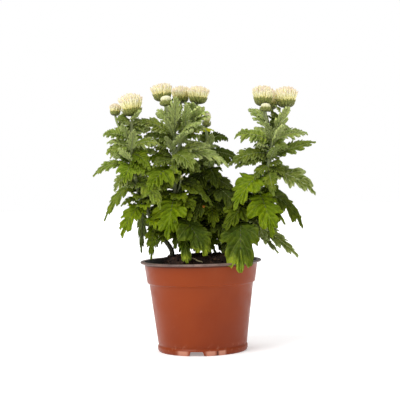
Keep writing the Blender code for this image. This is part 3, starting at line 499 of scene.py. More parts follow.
def add_camera():
    eye = Vector(EYE) + POT_AXIS
    ahead = (Vector(AIM) + POT_AXIS - eye).normalized()
    right = ahead.cross(Vector((0, 0, 1))).normalized()
    up = right.cross(ahead)
    up, right = up * math.cos(ROLL) + right * math.sin(ROLL), right * math.cos(ROLL) - up * math.sin(ROLL)
    camera = linked("camera", bpy.data.cameras.new("camera"))
    camera.matrix_world = Matrix.Translation(eye) @ Matrix((right, up, -ahead)).transposed().to_4x4()
    camera.data.sensor_width = 36
    camera.data.lens = LENS
    bpy.context.scene.camera = camera


def add_floor():
    bpy.ops.mesh.primitive_plane_add(size=12)
    floor = bpy.context.object
    floor.name = "floor"
    glow = {"Emission_Color": (1.0, 1.0, 1.0), "Emission_Strength": FLOOR_GLOW}
    white = Finish("studio_white", 0.9, Base_Color=(FLOOR_WHITE,) * 3, **glow)
    floor.data.materials.append(white.material)


def add_studio():
    world = bpy.data.worlds.new("studio")
    bpy.context.scene.world = world
    world.use_nodes = True
    background = world.node_tree.nodes["Background"]
    background.inputs["Color"].default_value = (1, 1, 1, 1)
    seen = world.node_tree.nodes.new("ShaderNodeLightPath")
    strength = world.node_tree.nodes.new("ShaderNodeMapRange")
    strength.inputs["To Min"].default_value = WORLD_LIGHT
    world.node_tree.links.new(seen.outputs["Is Camera Ray"], strength.inputs["Value"])
    world.node_tree.links.new(strength.outputs[0], background.inputs["Strength"])
    for name, (place, width, power) in SUNS.items():
        lamp = bpy.data.lights.new(name, "SUN")
        lamp.angle = math.radians(width)
        lamp.energy = power
        light = linked(name, lamp)
        light.location = place
        light.rotation_euler = (-Vector(place)).to_track_quat("-Z", "Y").to_euler()
    bpy.context.scene.view_settings.view_transform = "Standard"


# Working by hand


def select_only(*objects):
    bpy.ops.object.select_all(action="DESELECT")
    for obj in objects:
        obj.select_set(True)
    bpy.context.view_layer.objects.active = objects[0]


def apply_modifier(obj, modifier):
    select_only(obj)
    bpy.ops.object.modifier_apply(modifier=modifier.name)


def new_object(name, mesh, *materials):
    obj = linked(name, mesh)
    mesh.materials.clear()
    for material in materials:
        mesh.materials.append(material)
    return obj


def joined(name, objects):
    select_only(*objects)
    if len(objects) > 1:
        bpy.ops.object.join()
    obj = bpy.context.view_layer.objects.active
    obj.name = obj.data.name = name
    return obj


def thickened(obj, thickness, underside=0):
    """Gives a sheet its thickness, to either side of where it lies."""
    solid = obj.modifiers.new("thickness", "SOLIDIFY")
    solid.thickness = thickness * MM
    solid.offset = 0
    solid.material_offset = underside
    apply_modifier(obj, solid)


def settled(obj, slot, *nodes):
    """Moves a finished piece to the pot's axis and puts it in its node's place."""
    obj.data.transform(Matrix.Translation(POT_AXIS))
    obj.data.shade_smooth()
    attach(obj, "root")
    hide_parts(*nodes)


# Materials


class Finish:
    """A material in the making: its nodes, with short ways to add and join them."""

    def __init__(self, name, roughness, **values):
        self.material = bpy.data.materials.new(name)
        self.material.use_nodes = True
        self.nodes = self.material.node_tree.nodes
        self.shader = self.nodes["Principled BSDF"]
        for name, value in {"Roughness": roughness, **values}.items():
            self.join(value, self.shader.inputs[name.replace("_", " ")])

    def join(self, value, socket):
        if hasattr(value, "links"):
            self.material.node_tree.links.new(value, socket)
        elif isinstance(value, tuple) and len(value) == 3 and socket.type == "RGBA":
            socket.default_value = (*value, 1)
        else:
            socket.default_value = value

    def node(self, kind, inputs=None, **settings):
        """Adds a node with its settings, sets or joins its inputs, and gives its outputs."""
        node = self.nodes.new("ShaderNode" + kind)
        for name, value in settings.items():
            setattr(node, name, value)
        for name, value in (inputs or {}).items():
            self.join(value, node.inputs[name])
        return node.outputs

    def places(self, scale=(1, 1, 1)):
        """The piece's own coordinates in metres, from the pot's axis."""
        here = self.node("TexCoord")["Object"]
        inputs = {"Vector": here, "Location": -POT_AXIS * Vector(scale), "Scale": scale}
        return self.node("Mapping", inputs)[0]

    def place(self, axis):
        return self.node("SeparateXYZ", {"Vector": self.places()})[axis]

    def facing_front(self):
        """1 on the half of the pot towards the viewer and 0 on the other."""
        return self.math("LESS_THAN", self.place("Y"), 0.0)

    def attribute(self, name, output="Fac"):
        return self.node("Attribute", attribute_name=name)[output]

    def uv(self):
        split = self.node("SeparateXYZ", {"Vector": self.node("UVMap", uv_map="UVMap")["UV"]})
        return split["X"], split["Y"]

    def noise(self, scale, detail=3, roughness=0.55, stretch=(1, 1, 1)):
        inputs = {"Scale": scale, "Detail": detail, "Roughness": roughness, "Vector": self.places(stretch)}
        return self.node("TexNoise", inputs)["Fac"]

    def cells(self, scale, feature="F1"):
        return self.node("TexVoronoi", {"Scale": scale, "Vector": self.places()}, feature=feature)["Distance"]

    def math(self, operation, *values):
        return self.node("Math", dict(enumerate((*values, 0.0, 0.0)[:3])), operation=operation)[0]

    def times(self, *values):
        product, *others = values
        for value in others:
            product = self.math("MULTIPLY", product, value)
        return product

    def apart(self, first, second):
        return self.math("ABSOLUTE", self.math("SUBTRACT", first, second))

    def step(self, value, low, high, start=0.0, end=1.0):
        """A smooth change from start to end as the value goes from low to high."""
        inputs = {"Value": value, "From Min": low, "From Max": high, "To Min": start, "To Max": end}
        return self.node("MapRange", inputs, interpolation_type="SMOOTHSTEP")[0]

    def spots(self, texture, low, high, start=0.0, end=1.0):
        """A smooth change from start to end over the values of a noise, given by its settings."""
        return self.step(self.noise(*texture), low, high, start, end)

    def mix(self, share, first, second, blend="MIX"):
        return self.node("Mix", {0: share, 6: first, 7: second}, data_type="RGBA", blend_type=blend)[2]

    def colour(self, *mixed):
        self.join(self.mix(*mixed), self.shader.inputs["Base Color"])

    def roughness(self, *stepped):
        self.join(self.step(*stepped), self.shader.inputs["Roughness"])

    def bump(self, height, distance, strength=1.0):
        normal = self.shader.inputs["Normal"]
        inputs = {"Strength": strength, "Distance": distance * MM, "Height": height}
        if normal.links:
            inputs["Normal"] = normal.links[0].from_socket
        self.join(self.node("Bump", inputs)[0], normal)


def living(weight, colour, depth):
    """The soft glow of light inside a leaf, stalk or petal."""
    return {"Subsurface_Weight": weight, "Subsurface_Radius": colour, "Subsurface_Scale": depth * MM}


# Painted highlights on the foot's front, where its lower faces reflect the floor, and one darker line between
# two of them: their middle, half width and colour
FOOT_HIGHLIGHT = (206, 146, 122)
FOOT_PATCHES = ((-22.5, 8.0, FOOT_HIGHLIGHT), (9.0, 7.5, FOOT_HIGHLIGHT), (21.5, 5.5, FOOT_HIGHLIGHT), (16.4, 1.3, (70, 34, 24)))


def terracotta_plastic():
    """Thin moulded plastic: satin, faintly streaked, scuffed pale near the foot, with painted highlights on
    the foot's front and painted shade under the lip.
    """
    finish = Finish("terracotta_plastic", 0.4, Specular_IOR_Level=0.2)
    base = finish.mix(finish.spots((9, 3), 0.35, 0.7), linear(139, 55, 8), linear(127, 47, 8))
    streaks = finish.spots((22, 4, 0.6, (1, 1, 0.18)), 0.52, 0.75, 0, 0.22)
    base = finish.mix(streaks, base, linear(150, 72, 36))
    height = finish.place("Z")
    scuffs = finish.spots((150, 5, 0.7), 0.52, 0.68)
    low = finish.times(finish.step(height, 0.004, 0.016, 0.4, 0.0), scuffs)
    base = finish.mix(low, base, linear(180, 122, 96))
    foot = finish.step(height, 0.0048, 0.0062, 1.0, 0.0)
    # Painted highlights on the front of the foot, and the darker line between two of them
    for middle, half, colour in FOOT_PATCHES:
        from_patch = finish.apart(finish.place("X"), middle * MM)
        patch = finish.step(from_patch, 0.4 * half * MM, half * MM, 0.75, 0.0)
        base = finish.mix(finish.times(patch, foot, finish.facing_front()), base, linear(*colour))
    dust = finish.times(finish.spots((34, 5, 0.65), 0.5, 0.8, 0, 0.3), scuffs)
    base = finish.mix(dust, base, linear(156, 90, 60))
    # Painted shade: a dark band on the collar just under the lip's overhang
    painted_shade_under_lip = finish.times(
        finish.step(height, 0.0988, 0.1002), finish.step(height, 0.1016, 0.1022, 1.0, 0.0), 0.7,
    )
    finish.colour(painted_shade_under_lip, base, linear(52, 26, 18))
    finish.roughness(finish.noise(60, 4, 0.6), 0.3, 0.75, 0.3, 0.5)
    finish.bump(finish.noise(240, 2, 0.5), 0.10, 0.5)
    finish.bump(finish.noise(900, 2, 0.5), 0.02, 0.5)
    return finish.material


def pot_lining():
    """The pot's dark inner skin, dull with dried soil."""
    finish = Finish("pot_lining", 0.6)
    dirt = finish.spots((70, 5, 0.7), 0.42, 0.7)
    finish.colour(dirt, linear(26, 25, 26), linear(62, 52, 45))
    finish.roughness(dirt, 0, 1, 0.45, 0.85)
    finish.bump(finish.noise(300, 3, 0.6), 0.12, 0.5)
    return finish.material


def worn_lip():
    """The lip, where the dark lining shows and the edge is rubbed to a grey brown."""
    finish = Finish("worn_lip", 0.45)
    patch = finish.spots((46, 5, 0.7), 0.35, 0.68)
    base = finish.mix(patch, linear(84, 64, 57), linear(132, 106, 95))
    finish.colour(finish.spots((210, 4, 0.7), 0.56, 0.7, 0, 0.6), base, linear(62, 50, 45))
    finish.roughness(patch, 0, 1, 0.36, 0.6)
    finish.bump(finish.noise(260, 3, 0.6), 0.10, 0.5)
    return finish.material


def potting_soil():
    """Dark peat with paler fibres and damp patches."""
    finish = Finish("potting_soil", 0.95, Specular_IOR_Level=0.2)
    base = finish.mix(finish.spots((40, 4, 0.6), 0.4, 0.65), linear(52, 38, 30), linear(30, 21, 17))
    finish.colour(finish.spots((420, 3, 0.6), 0.60, 0.72), base, linear(96, 72, 54))
    finish.bump(finish.noise(240, 5, 0.7), 0.9, 0.9)
    finish.bump(finish.cells(500), 0.5, 0.7)
    return finish.material


def soil_crumb():
    """Loose bits of bark and peat, each with its own brown."""
    finish = Finish("soil_crumb", 0.92, Specular_IOR_Level=0.2)
    base = finish.mix(finish.attribute("shade"), linear(34, 24, 19), linear(98, 72, 52))
    finish.colour(finish.spots((600, 3, 0.6), 0.4, 0.7, 0, 0.5), base, linear(40, 28, 22))
    finish.bump(finish.noise(900, 4, 0.7), 0.25, 0.8)
    return finish.material


def from_middle(finish, v):
    """0 along the middle line of a leaf, petal or bract and 1 at its edges."""
    return finish.apart(finish.times(v, 2.0), 1.0)


def vein_pattern(finish):
    """How much a leaf's veins show, from its own UV map: u counts lobes and v runs across."""
    u, v = finish.uv()
    side = from_middle(finish, v)
    from_vein = finish.apart(finish.math("FRACT", u), 0.5)
    lobe = finish.step(from_vein, 0.012, finish.step(side, 0.0, 1.0, 0.085, 0.045), 1.0, 0.0)
    from_branch = finish.apart(from_vein, finish.step(side, 0.25, 1.0, 0.0, 0.30))
    branch = finish.times(finish.step(from_branch, 0.010, 0.045, 1.0, 0.0), 0.55)
    rib = finish.step(finish.attribute("rib"), 0.15, 0.75, 1.0, 0.0)
    return finish.math("MAXIMUM", rib, finish.math("MAXIMUM", lobe, branch)), side


# A small browned spot on a leaf in the middle: its place to the side and up, and its half width
BROWN_SPOT = (4.9, 165.9, 1.9)


def leaf_top():
    """The leaf's upper side: its own tone, paler veins, mottled between them, soft sheen."""
    finish = Finish("leaf_top", 0.5, Specular_IOR_Level=0.1, **living(0.12, (0.6, 1.0, 0.25), 1.2))
    veins, side = vein_pattern(finish)
    tone = finish.attribute("tone", "Color")
    down = finish.attribute("down")

    def by_down(smooth, downy):
        return finish.step(down, 0, 1, smooth, downy)

    mottle = finish.noise(230, 4, 0.65)
    dark = finish.step(mottle, 0.32, 0.68, 0.0, by_down(0.62, 0.8))
    base = finish.mix(dark, tone, (0.30, 0.42, 0.12), "MULTIPLY")
    patches = finish.times(finish.spots((75, 3, 0.6), 0.48, 0.68, 0.0, 0.55), by_down(1.0, 0.5))
    base = finish.mix(patches, base, (1.7, 1.5, 0.7), "MULTIPLY")
    edge = finish.step(side, 0.72, 1.0, 0.0, by_down(0.2, 0.5))
    base = finish.mix(edge, base, finish.mix(down, linear(132, 146, 24), linear(184, 194, 134)))
    pale = finish.mix(0.5, tone, finish.mix(down, linear(178, 188, 104), linear(206, 214, 164)))
    base = finish.mix(finish.times(veins, by_down(0.24, 0.85)), base, pale)
    across, up, half = (value * MM for value in BROWN_SPOT)
    from_spot = finish.math("ADD", *(
        finish.math("POWER", finish.math("SUBTRACT", finish.place(axis), middle), 2.0)
        for axis, middle in (("X", across), ("Z", up))
    ))
    spot = finish.step(from_spot, 0.2 * half * half, half * half, 0.85, 0.0)
    finish.colour(finish.times(spot, finish.facing_front()), base, linear(176, 106, 44))
    finish.roughness(mottle, 0.3, 0.8, 0.48, 0.66)
    finish.bump(finish.times(veins, -1.0), 0.5, 0.9)
    finish.bump(finish.noise(170, 3, 0.6), 0.8, 0.6)
    finish.bump(finish.cells(1100, "SMOOTH_F1"), 0.22, 0.7)
    return finish.material


def leaf_underside():
    """The leaf's paler, downy underside with its raised veins."""
    finish = Finish("leaf_underside", 0.75, Specular_IOR_Level=0.25, **living(0.12, (0.6, 1.0, 0.25), 1.2))
    veins, _ = vein_pattern(finish)
    pale = finish.mix(0.5, finish.attribute("tone", "Color"), linear(122, 136, 74))
    base = finish.mix(finish.spots((260, 4, 0.6), 0.4, 0.7, 0.0, 0.3), pale, linear(86, 100, 44))
    finish.colour(finish.times(veins, 0.5), base, linear(156, 168, 108))
    finish.bump(veins, 0.4, 0.9)
    finish.bump(finish.noise(2600, 2, 0.5), 0.05, 0.5)
    return finish.material


def stalk_skin():
    """Ribbed, downy stalks: grey green with brown flushes, darkened low down by painted shade under the
    leaves.
    """
    finish = Finish("stalk_skin", 0.65, **living(0.1, (0.6, 1.0, 0.3), 1.0))
    ribs = finish.math("SINE", finish.times(finish.uv()[0], 8 * math.tau))
    # Painted shade: the stalks turn dark towards the soil, under the leaves
    base = finish.mix(finish.step(finish.place("Z"), 0.11, 0.26), linear(44, 46, 22), linear(146, 158, 106))
    flush = finish.spots((26, 4, 0.6, (1, 1, 0.4)), 0.56, 0.70, 0.0, 0.4)
    base = finish.mix(flush, base, linear(96, 72, 54))
    finish.colour(finish.step(ribs, 0.2, 1.0, 0.0, 0.35), base, linear(162, 170, 112))
    finish.bump(ribs, 0.16, 0.8)
    finish.bump(finish.noise(1500, 3, 0.6), 0.08, 0.7)
    return finish.material


def bract_skin():
    """The cup's bracts: dark green down the middle with pale, papery edges, darkened towards their foot by
    painted shade under the petals.
    """
    finish = Finish("bract_skin", 0.6, **living(0.1, (0.6, 1.0, 0.3), 1.0))
    u, v = finish.uv()
    # Painted shade: the bracts darken towards their foot, under the petals
    base = finish.mix(finish.step(u, 0.35, 1.0), linear(58, 68, 16), linear(132, 138, 58))
    base = finish.mix(finish.spots((300, 3), 0.4, 0.7, 0.0, 0.5), base, linear(46, 52, 14))
    finish.colour(finish.step(from_middle(finish, v), 0.62, 1.0, 0.0, 0.65), base, linear(172, 170, 96))
    finish.bump(finish.noise(1400, 3, 0.6), 0.06, 0.6)
    return finish.material


# The colours of a bloom's and a bud's petals: foot, body, tip and blush
PETAL_SKINS = {
    "petal_skin": ((206, 196, 80), (249, 237, 162), (251, 243, 208), (226, 198, 184)),
    "bud_petal_skin": ((206, 204, 116), (246, 240, 190), (251, 243, 208), (240, 226, 200)),
}


def petal_skin(name, foot, body, tip, blush):
    """A soft petal: greener at its foot, cream along its length, with a flush at its tip."""
    finish = Finish(name, 0.62, Specular_IOR_Level=0.25, **living(0.25, (1.0, 0.8, 0.5), 2.0))
    u, v = finish.uv()
    base = finish.mix(finish.step(u, 0.25, 0.6), linear(*foot), linear(*body))
    base = finish.mix(finish.step(u, 0.55, 0.95, 0.0, 0.85), base, linear(*tip))
    tinge = finish.times(finish.step(u, 0.82, 1.0), finish.attribute("flush"))
    base = finish.mix(tinge, base, linear(*blush))
    lines = finish.math("SINE", finish.times(v, 5 * math.tau))
    finish.colour(finish.step(lines, 0.3, 1.0, 0.0, 0.14), base, linear(*foot))
    finish.bump(lines, 0.08, 0.6)
    return finish.material


def straw_skin():
    finish = Finish("straw_skin", 0.7)
    fibres = finish.noise(500, 4, 0.6)
    finish.colour(finish.step(fibres, 0.35, 0.7), linear(176, 166, 124), linear(132, 116, 82))
    finish.bump(fibres, 0.15, 0.8)
    return finish.material


# The pot


def pot_outer_radius(z):
    """The pot body's outer radius below the collar."""
    top = COLLAR_BOTTOM - STEP_DEPTH
    return BODY_BOTTOM + (top - BODY_BOTTOM) * (z - FOOT_TOP_Z) / (STEP_Z - FOOT_TOP_Z)


def arc(centre, radius, start, end, steps):
    """Points of an arc in the profile, its angles in degrees."""
    points = []
    for step in range(steps + 1):
        angle = math.radians(start + (end - start) * step / steps)
        points.append((centre[0] + radius * math.cos(angle), centre[1] + radius * math.sin(angle)))
    return points


def pot_profile():
    """The wall's outline, down its outer side, under the floor and up its inner side."""
    under = POT_HEIGHT - LIP_THICKNESS
    half = LIP_THICKNESS / 2
    step = pot_outer_radius(STEP_Z)
    ring = FOOT_RADIUS - FOOT_WIDTH
    floor = FLOOR_Z + WALL
    body = (STEP_Z + (FOOT_TOP_Z - STEP_Z) * share for share in (0.15, 0.3, 0.45, 0.6, 0.75, 0.9))
    return [
        (COLLAR_TOP - 0.4, POT_HEIGHT - 0.3), (COLLAR_TOP + 0.6, POT_HEIGHT),
        *arc((LIP_RADIUS - half, POT_HEIGHT - half), half, 90, -90, 6),
        (COLLAR_TOP + 1.8, under + 0.1),
        *arc((COLLAR_TOP + 1.0, under - 0.9), 1.0, 90, 180, 4),
        (COLLAR_TOP - 0.3, under - 3.0),
        (COLLAR_BOTTOM + 0.5, COLLAR_FOOT_Z + 3.4), (COLLAR_BOTTOM + 0.1, COLLAR_FOOT_Z + 0.9),
        *arc((COLLAR_BOTTOM - 0.8, COLLAR_FOOT_Z + 0.6), 0.8, 0, -80, 4),
        (step + 0.5, STEP_Z + 0.9), (step + 0.05, STEP_Z - 0.2),
        *((pot_outer_radius(z), z) for z in body),
        (BODY_BOTTOM + 0.1, FOOT_TOP_Z + 0.9), (BODY_BOTTOM - 0.45, FOOT_TOP_Z + 0.1),
        (BODY_BOTTOM - 0.4, FOOT_TOP_Z - 0.5), (FOOT_BEAD - 0.3, FOOT_TOP_Z - 1.6),
        (FOOT_BEAD, FOOT_TOP_Z - 2.8), (FOOT_BEAD, 2.6), (FOOT_RADIUS + 0.3, 0.5),
        (FOOT_RADIUS - 0.3, 0.0), (ring + 0.3, 0.0), (ring, 0.4), (ring - 0.8, FLOOR_Z - 0.3),
        (ring - 1.2, FLOOR_Z), (DRAIN_CIRCLE + 8, FLOOR_Z), (DRAIN_CIRCLE - 8, FLOOR_Z),
        (14, FLOOR_Z), (12, FLOOR_Z + 0.5), (0.6, FLOOR_Z + 0.5),
        (0.6, floor + 0.5), (12, floor + 0.5), (14, floor), (DRAIN_CIRCLE - 8, floor),
        (DRAIN_CIRCLE + 8, floor), (pot_outer_radius(floor) - WALL - 1.6, floor),
        (pot_outer_radius(floor + 1.6) - WALL, floor + 1.6), (pot_outer_radius(40) - WALL, 40),
        (step - WALL, STEP_Z + 0.4), (COLLAR_BOTTOM - WALL, COLLAR_FOOT_Z + 0.4),
        (COLLAR_TOP - WALL - 0.3, under - 1),
    ]


def spun(name, profile, steps):
    """A turned body: its outline drawn as a closed loop of edges and spun round the pot's axis."""
    mesh = bpy.data.meshes.new(name)
    points = [Vector((radius, 0, z)) * MM for radius, z in profile]
    edges = [(i, (i + 1) % len(points)) for i in range(len(points))]
    mesh.from_pydata(points, edges, [])
    obj = new_object(name, mesh)
    select_only(obj)
    bpy.ops.object.mode_set(mode="EDIT")
    bpy.ops.mesh.select_all(action="SELECT")
    bpy.ops.mesh.spin(steps=steps, angle=math.tau, center=(0, 0, 0), axis=(0, 0, 1))
    bpy.ops.mesh.select_all(action="SELECT")
    bpy.ops.mesh.remove_doubles(threshold=0.02 * MM)
    bpy.ops.mesh.normals_make_consistent(inside=False)
    bpy.ops.object.mode_set(mode="OBJECT")
    return obj


def cut_through(obj, cutter):
    hole = obj.modifiers.new("hole", "BOOLEAN")
    hole.operation = "DIFFERENCE"
    hole.solver = "EXACT"
    hole.object = cutter
    apply_modifier(obj, hole)
    bpy.data.objects.remove(cutter, do_unlink=True)


def notch_block(angle):
    """A block, narrower at its top and with rounded corners, that stands across the foot ring."""
    middle = FOOT_RADIUS - FOOT_WIDTH / 2
    bpy.ops.mesh.primitive_cube_add(size=1)
    block = bpy.context.object
    for vertex in block.data.vertices:
        width, z = (NOTCH_TOP_WIDTH, NOTCH_HEIGHT) if vertex.co.z > 0 else (NOTCH_WIDTH, -1)
        vertex.co = Vector((middle + NOTCH_DEPTH * vertex.co.x, width * vertex.co.y, z)) * MM
    rounding = block.modifiers.new("rounding", "BEVEL")
    rounding.width = NOTCH_ROUNDING * MM
    rounding.segments = 3
    apply_modifier(block, rounding)
    block.data.transform(Matrix.Rotation(angle, 4, "Z"))
    return block


def make_pot():
    pot = spun("pot_shell", pot_profile(), POT_STEPS)
    for number in range(NOTCHES):
        angle = FIRST_NOTCH_ANGLE + number * math.tau / NOTCHES
        cut_through(pot, notch_block(angle))
    for number in range(DRAINS):
        angle = FIRST_NOTCH_ANGLE + (number + 0.5) * math.tau / DRAINS
        place = Vector((DRAIN_CIRCLE * math.cos(angle), DRAIN_CIRCLE * math.sin(angle), FLOOR_Z))
        size = {"radius": DRAIN_RADIUS * MM, "depth": DRAIN_CUT * MM}
        bpy.ops.mesh.primitive_cylinder_add(vertices=DRAIN_SIDES, location=place * MM, **size)
        cut_through(pot, bpy.context.object)
    for material in (terracotta_plastic(), pot_lining(), worn_lip()):
        pot.data.materials.append(material)
    for face in pot.data.polygons:
        radius, z = face.center.xy.length / MM, face.center.z / MM
        inward = face.normal.xy.dot(face.center.xy) < 0 and abs(face.normal.z) < LEVEL
        if z > POT_HEIGHT - LIP_THICKNESS - 0.05 and radius > COLLAR_TOP - WALL / 2:
            face.material_index = 2
        elif z > FLOOR_Z + 0.8 and (inward or (face.normal.z > LEVEL and radius < BODY_BOTTOM)):
            face.material_index = 1
    settled(pot, "pot_plastic", "pot")
    pot.data.set_sharp_from_angle(angle=math.radians(40))


# The soil


def soil_height(x, y):
    """The soil's top: a low ring at the wall and a crumbly heap round the stems."""
    radius = math.hypot(x, y)
    edge = HEAP_RADIUS + HEAP_WANDER * noise.noise(Vector((x, y, HEAP_RADIUS)) * HEAP_PATTERN)
    share = min(1, max(0, (radius - edge) / HEAP_SLOPE))
    heap = HEAP_Z - (HEAP_Z - SOIL_RIM_Z) * share * share * (3 - 2 * share)
    return heap + SOIL_BUMP * noise.noise(Vector((x, y, 0)) * SOIL_PATTERN)


# The lumps and grains of the soil's top: how high each kind is, and how fine
LUMP, SMALL_LUMP, CRUMB, GRAIN = (1.1, 0.42), (0.8, 0.95), (0.7, 1.9), (0.4, 3.3)
CRUMB_SINK = 0.3


def crumbly_height(x, y):
    """The soil's top with its lumps and crumbs."""

    def uneven(height, pattern):
        return height * noise.noise(Vector((x, y, 3)) * pattern)

    lumps = uneven(*LUMP) + uneven(*SMALL_LUMP)
    crumbs = abs(uneven(*CRUMB)) + uneven(*GRAIN)
    return soil_height(x, y) + lumps + crumbs - CRUMB_SINK


def soil_rim():
    slope = (COLLAR_TOP - COLLAR_BOTTOM) / (POT_HEIGHT - 1.8 - COLLAR_FOOT_Z)
    return COLLAR_BOTTOM - WALL - GAP + slope * (SOIL_RIM_Z - COLLAR_FOOT_Z) - SOIL_EDGE


def make_soil(material):
    rim = soil_rim()
    floor = FLOOR_Z + WALL + GAP
    soil = spun("soil_bed", [
        (0.4, HEAP_Z), *((rim * step / SOIL_RINGS, HEAP_Z) for step in range(1, SOIL_RINGS + 1)),
        (COLLAR_BOTTOM - WALL - GAP, COLLAR_FOOT_Z + 0.4),
        (pot_outer_radius(STEP_Z) - WALL - GAP, STEP_Z + 0.4),
        (pot_outer_radius(floor) - WALL - 1.6, floor + 1), (20, floor), (0.4, floor),
    ], SOIL_STEPS)
    for vertex in soil.data.vertices:
        x, y, z = vertex.co / MM
        if z > SOIL_RIM_Z:
            fade = min(1, (rim - math.hypot(x, y)) / SOIL_FADE)
            top = crumbly_height(x, y)
            if fade < 1:
                top = SOIL_RIM_Z + (top - SOIL_RIM_Z) * fade
            vertex.co.z = top * MM
    soil.data.materials.append(material)
    settled(soil, "potting_soil", "soil")


CRUMBS = 900
CRUMB_KINDS = 3
CRUMB_ROUGHNESS = 0.45
CRUMB_SIZES = (0.35, 0.5, 0.7, 1.0, 1.5)
CRUMB_TILT = 0.7
CRUMB_FLATNESS = 0.7


def crumb_shapes():
    """Rough lumps of a few kinds, modelled once and copied."""
    shapes = []
    for number in range(CRUMB_KINDS):
        bpy.ops.mesh.primitive_ico_sphere_add(subdivisions=1, radius=1)
        lump = bpy.context.object
        for vertex in lump.data.vertices:
            pattern = noise.noise(vertex.co * 1.7 + Vector((number * 7, 0, 0)))
            vertex.co *= 1 + CRUMB_ROUGHNESS * pattern
        shapes.append(lump.data.copy())
        bpy.data.objects.remove(lump, do_unlink=True)
    return shapes


def with_attribute(mesh, name, values):
    """Gives a mesh's points numbers or colours under a name, each point its own or all the same."""
    coloured = np.ndim(values) == 2
    if not coloured:
        values = np.full(len(mesh.vertices), values)
    attribute = mesh.attributes.new(name, "FLOAT_COLOR" if coloured else "FLOAT", "POINT")
    attribute.data.foreach_set("color" if coloured else "value", values.ravel().astype(np.float32))


def make_crumbs(material):
    """Loose crumbs all over the soil, each a copied lump with its own size, turn and shade."""
    dice = random.Random(11)
    shapes = crumb_shapes()
    crumbs = []
    for _ in range(CRUMBS):
        radius = (soil_rim() - 1.5) * math.sqrt(dice.random())
        angle = dice.uniform(0, math.tau)
        x, y = radius * math.cos(angle), radius * math.sin(angle)
        size = dice.choice(CRUMB_SIZES) * dice.uniform(0.8, 1.2)
        mesh = dice.choice(shapes).copy()
        long = dice.uniform(1.0, 2.0)
        turn = Matrix.Rotation(dice.uniform(0, math.tau), 4, "Z")
        turn = turn @ Matrix.Rotation(dice.uniform(-CRUMB_TILT, CRUMB_TILT), 4, "Y")
        place = Matrix.Translation(Vector((x, y, crumbly_height(x, y) + 0.25 * size)) * MM)
        shape = Matrix.Diagonal((size * long * MM, size * MM, CRUMB_FLATNESS * size * MM, 1))
        mesh.transform(place @ turn @ shape)
        with_attribute(mesh, "shade", dice.random() ** 2)
        crumbs.append(new_object("crumb", mesh, material))
    settled(joined("soil_crumbs", crumbs), "potting_soil", "soil")


# Stalks


def leaned(stalk, place):
    """A place of a shoot, moved back or forward as the shoot leans."""
    moved = Vector(place)
    moved.y += LEAN.get(stalk, 0) * max(0, moved.z - LEAN_FROM_Z)
    return moved


def smooth_path(stalk, steps=2):
    """Points and radii on a smooth curve through the places of a stalk."""
    knots = [leaned(stalk, place) for place in STALKS[stalk]]
    knots = [2 * knots[0] - knots[1], *knots, 2 * knots[-1] - knots[-2]]
    path = []
    for a, b, c, d in zip(knots, knots[1:], knots[2:], knots[3:]):
        straight = b.xy == c.xy
        for step in range(1 if straight else steps):
            t = step / steps
            path.append(
                0.5 * (2 * b + (c - a) * t + (2 * a - 5 * b + 4 * c - d) * t * t
                       + (3 * b - a - 3 * c + d) * t ** 3)
            )
    return path + [knots[-2]]


def draft_tube(name):
    """A stalk as the solids have it, for leaves to stay clear of: its points and faces."""
    path = smooth_path(name)
    curve = bpy.data.curves.new(name, "CURVE")
    curve.dimensions = "3D"
    curve.bevel_depth = MM
    curve.bevel_resolution = 1
    curve.use_fill_caps = True
    spline = curve.splines.new("POLY")
    spline.points.add(len(path) - 1)
    for point, (x, y, z, radius) in zip(spline.points, path):
        point.co = (x * MM, y * MM, z * MM, 1)
        point.radius = radius
    obj = linked(name, curve)
    bpy.context.view_layer.update()
    mesh = bpy.data.meshes.new_from_object(obj.evaluated_get(bpy.context.evaluated_depsgraph_get()))
    points = [vertex.co / MM for vertex in mesh.vertices]
    faces = [tuple(face.vertices) for face in mesh.polygons]
    bpy.data.objects.remove(obj, do_unlink=True)
    bpy.data.curves.remove(curve)
    bpy.data.meshes.remove(mesh)
    return points, faces


def tube(name, path, sides, material):
    """A round tube through points with radii, with u round it and v along it in its UV map."""
    points = [Vector(place[:3]) for place in path]
    radii = [place[3] for place in path]
    rings = []
    across = Vector((1, 0, 0))
    for number, point in enumerate(points):
        ahead = points[min(number + 1, len(points) - 1)] - points[max(number - 1, 0)]
        ahead.normalize()
        across = (across - ahead * across.dot(ahead)).normalized()
        beside = ahead.cross(across)
        for side in range(sides):
            angle = side * math.tau / sides
            rings.append(point + (across * math.cos(angle) + beside * math.sin(angle)) * radii[number])
    faces, corners = [], []
    for ring, side in product(range(len(points) - 1), range(sides)):
        after = (side + 1) % sides
        low, high = ring * sides, (ring + 1) * sides
        faces.append((low + side, low + after, high + after, high + side))
        left, right = side / sides, (side + 1) / sides
        corners += [(left, ring), (right, ring), (right, ring + 1), (left, ring + 1)]
    last = (len(points) - 1) * sides
    faces += [tuple(reversed(range(sides))), tuple(range(last, last + sides))]
    corners += [(0, 0)] * (2 * sides)
    mesh = bpy.data.meshes.new(name)
    mesh.from_pydata([point * MM for point in rings], [], faces)
    mesh.uv_layers.new(name="UVMap")
    mesh.uv_layers["UVMap"].data.foreach_set("uv", [value for corner in corners for value in corner])
    return new_object(name, mesh, material)


def point_at_height(stalk, z):
    """The point on a stalk's middle line at a height."""
    path = smooth_path(stalk)
    for low, high in zip(path, path[1:]):
        if low.z <= z <= high.z:
            return low.lerp(high, (z - low.z) / (high.z - low.z)).to_3d()
    raise ValueError(f"{stalk} doesn't reach {z}")


KNUCKLE = 0.16
KNUCKLE_REACH = 2.5


def swollen(path, leaves):
    """A stalk's path with a slight knuckle wherever a leaf grows from it."""
    fuller = []
    for place in path:
        near = min((abs(place.z - leaf.base.z) for leaf in leaves), default=math.inf)
        more = 1 + KNUCKLE * max(0, 1 - near / KNUCKLE_REACH)
        fuller.append((*place[:3], place[3] * more))
    return fuller


# Placing the leaves


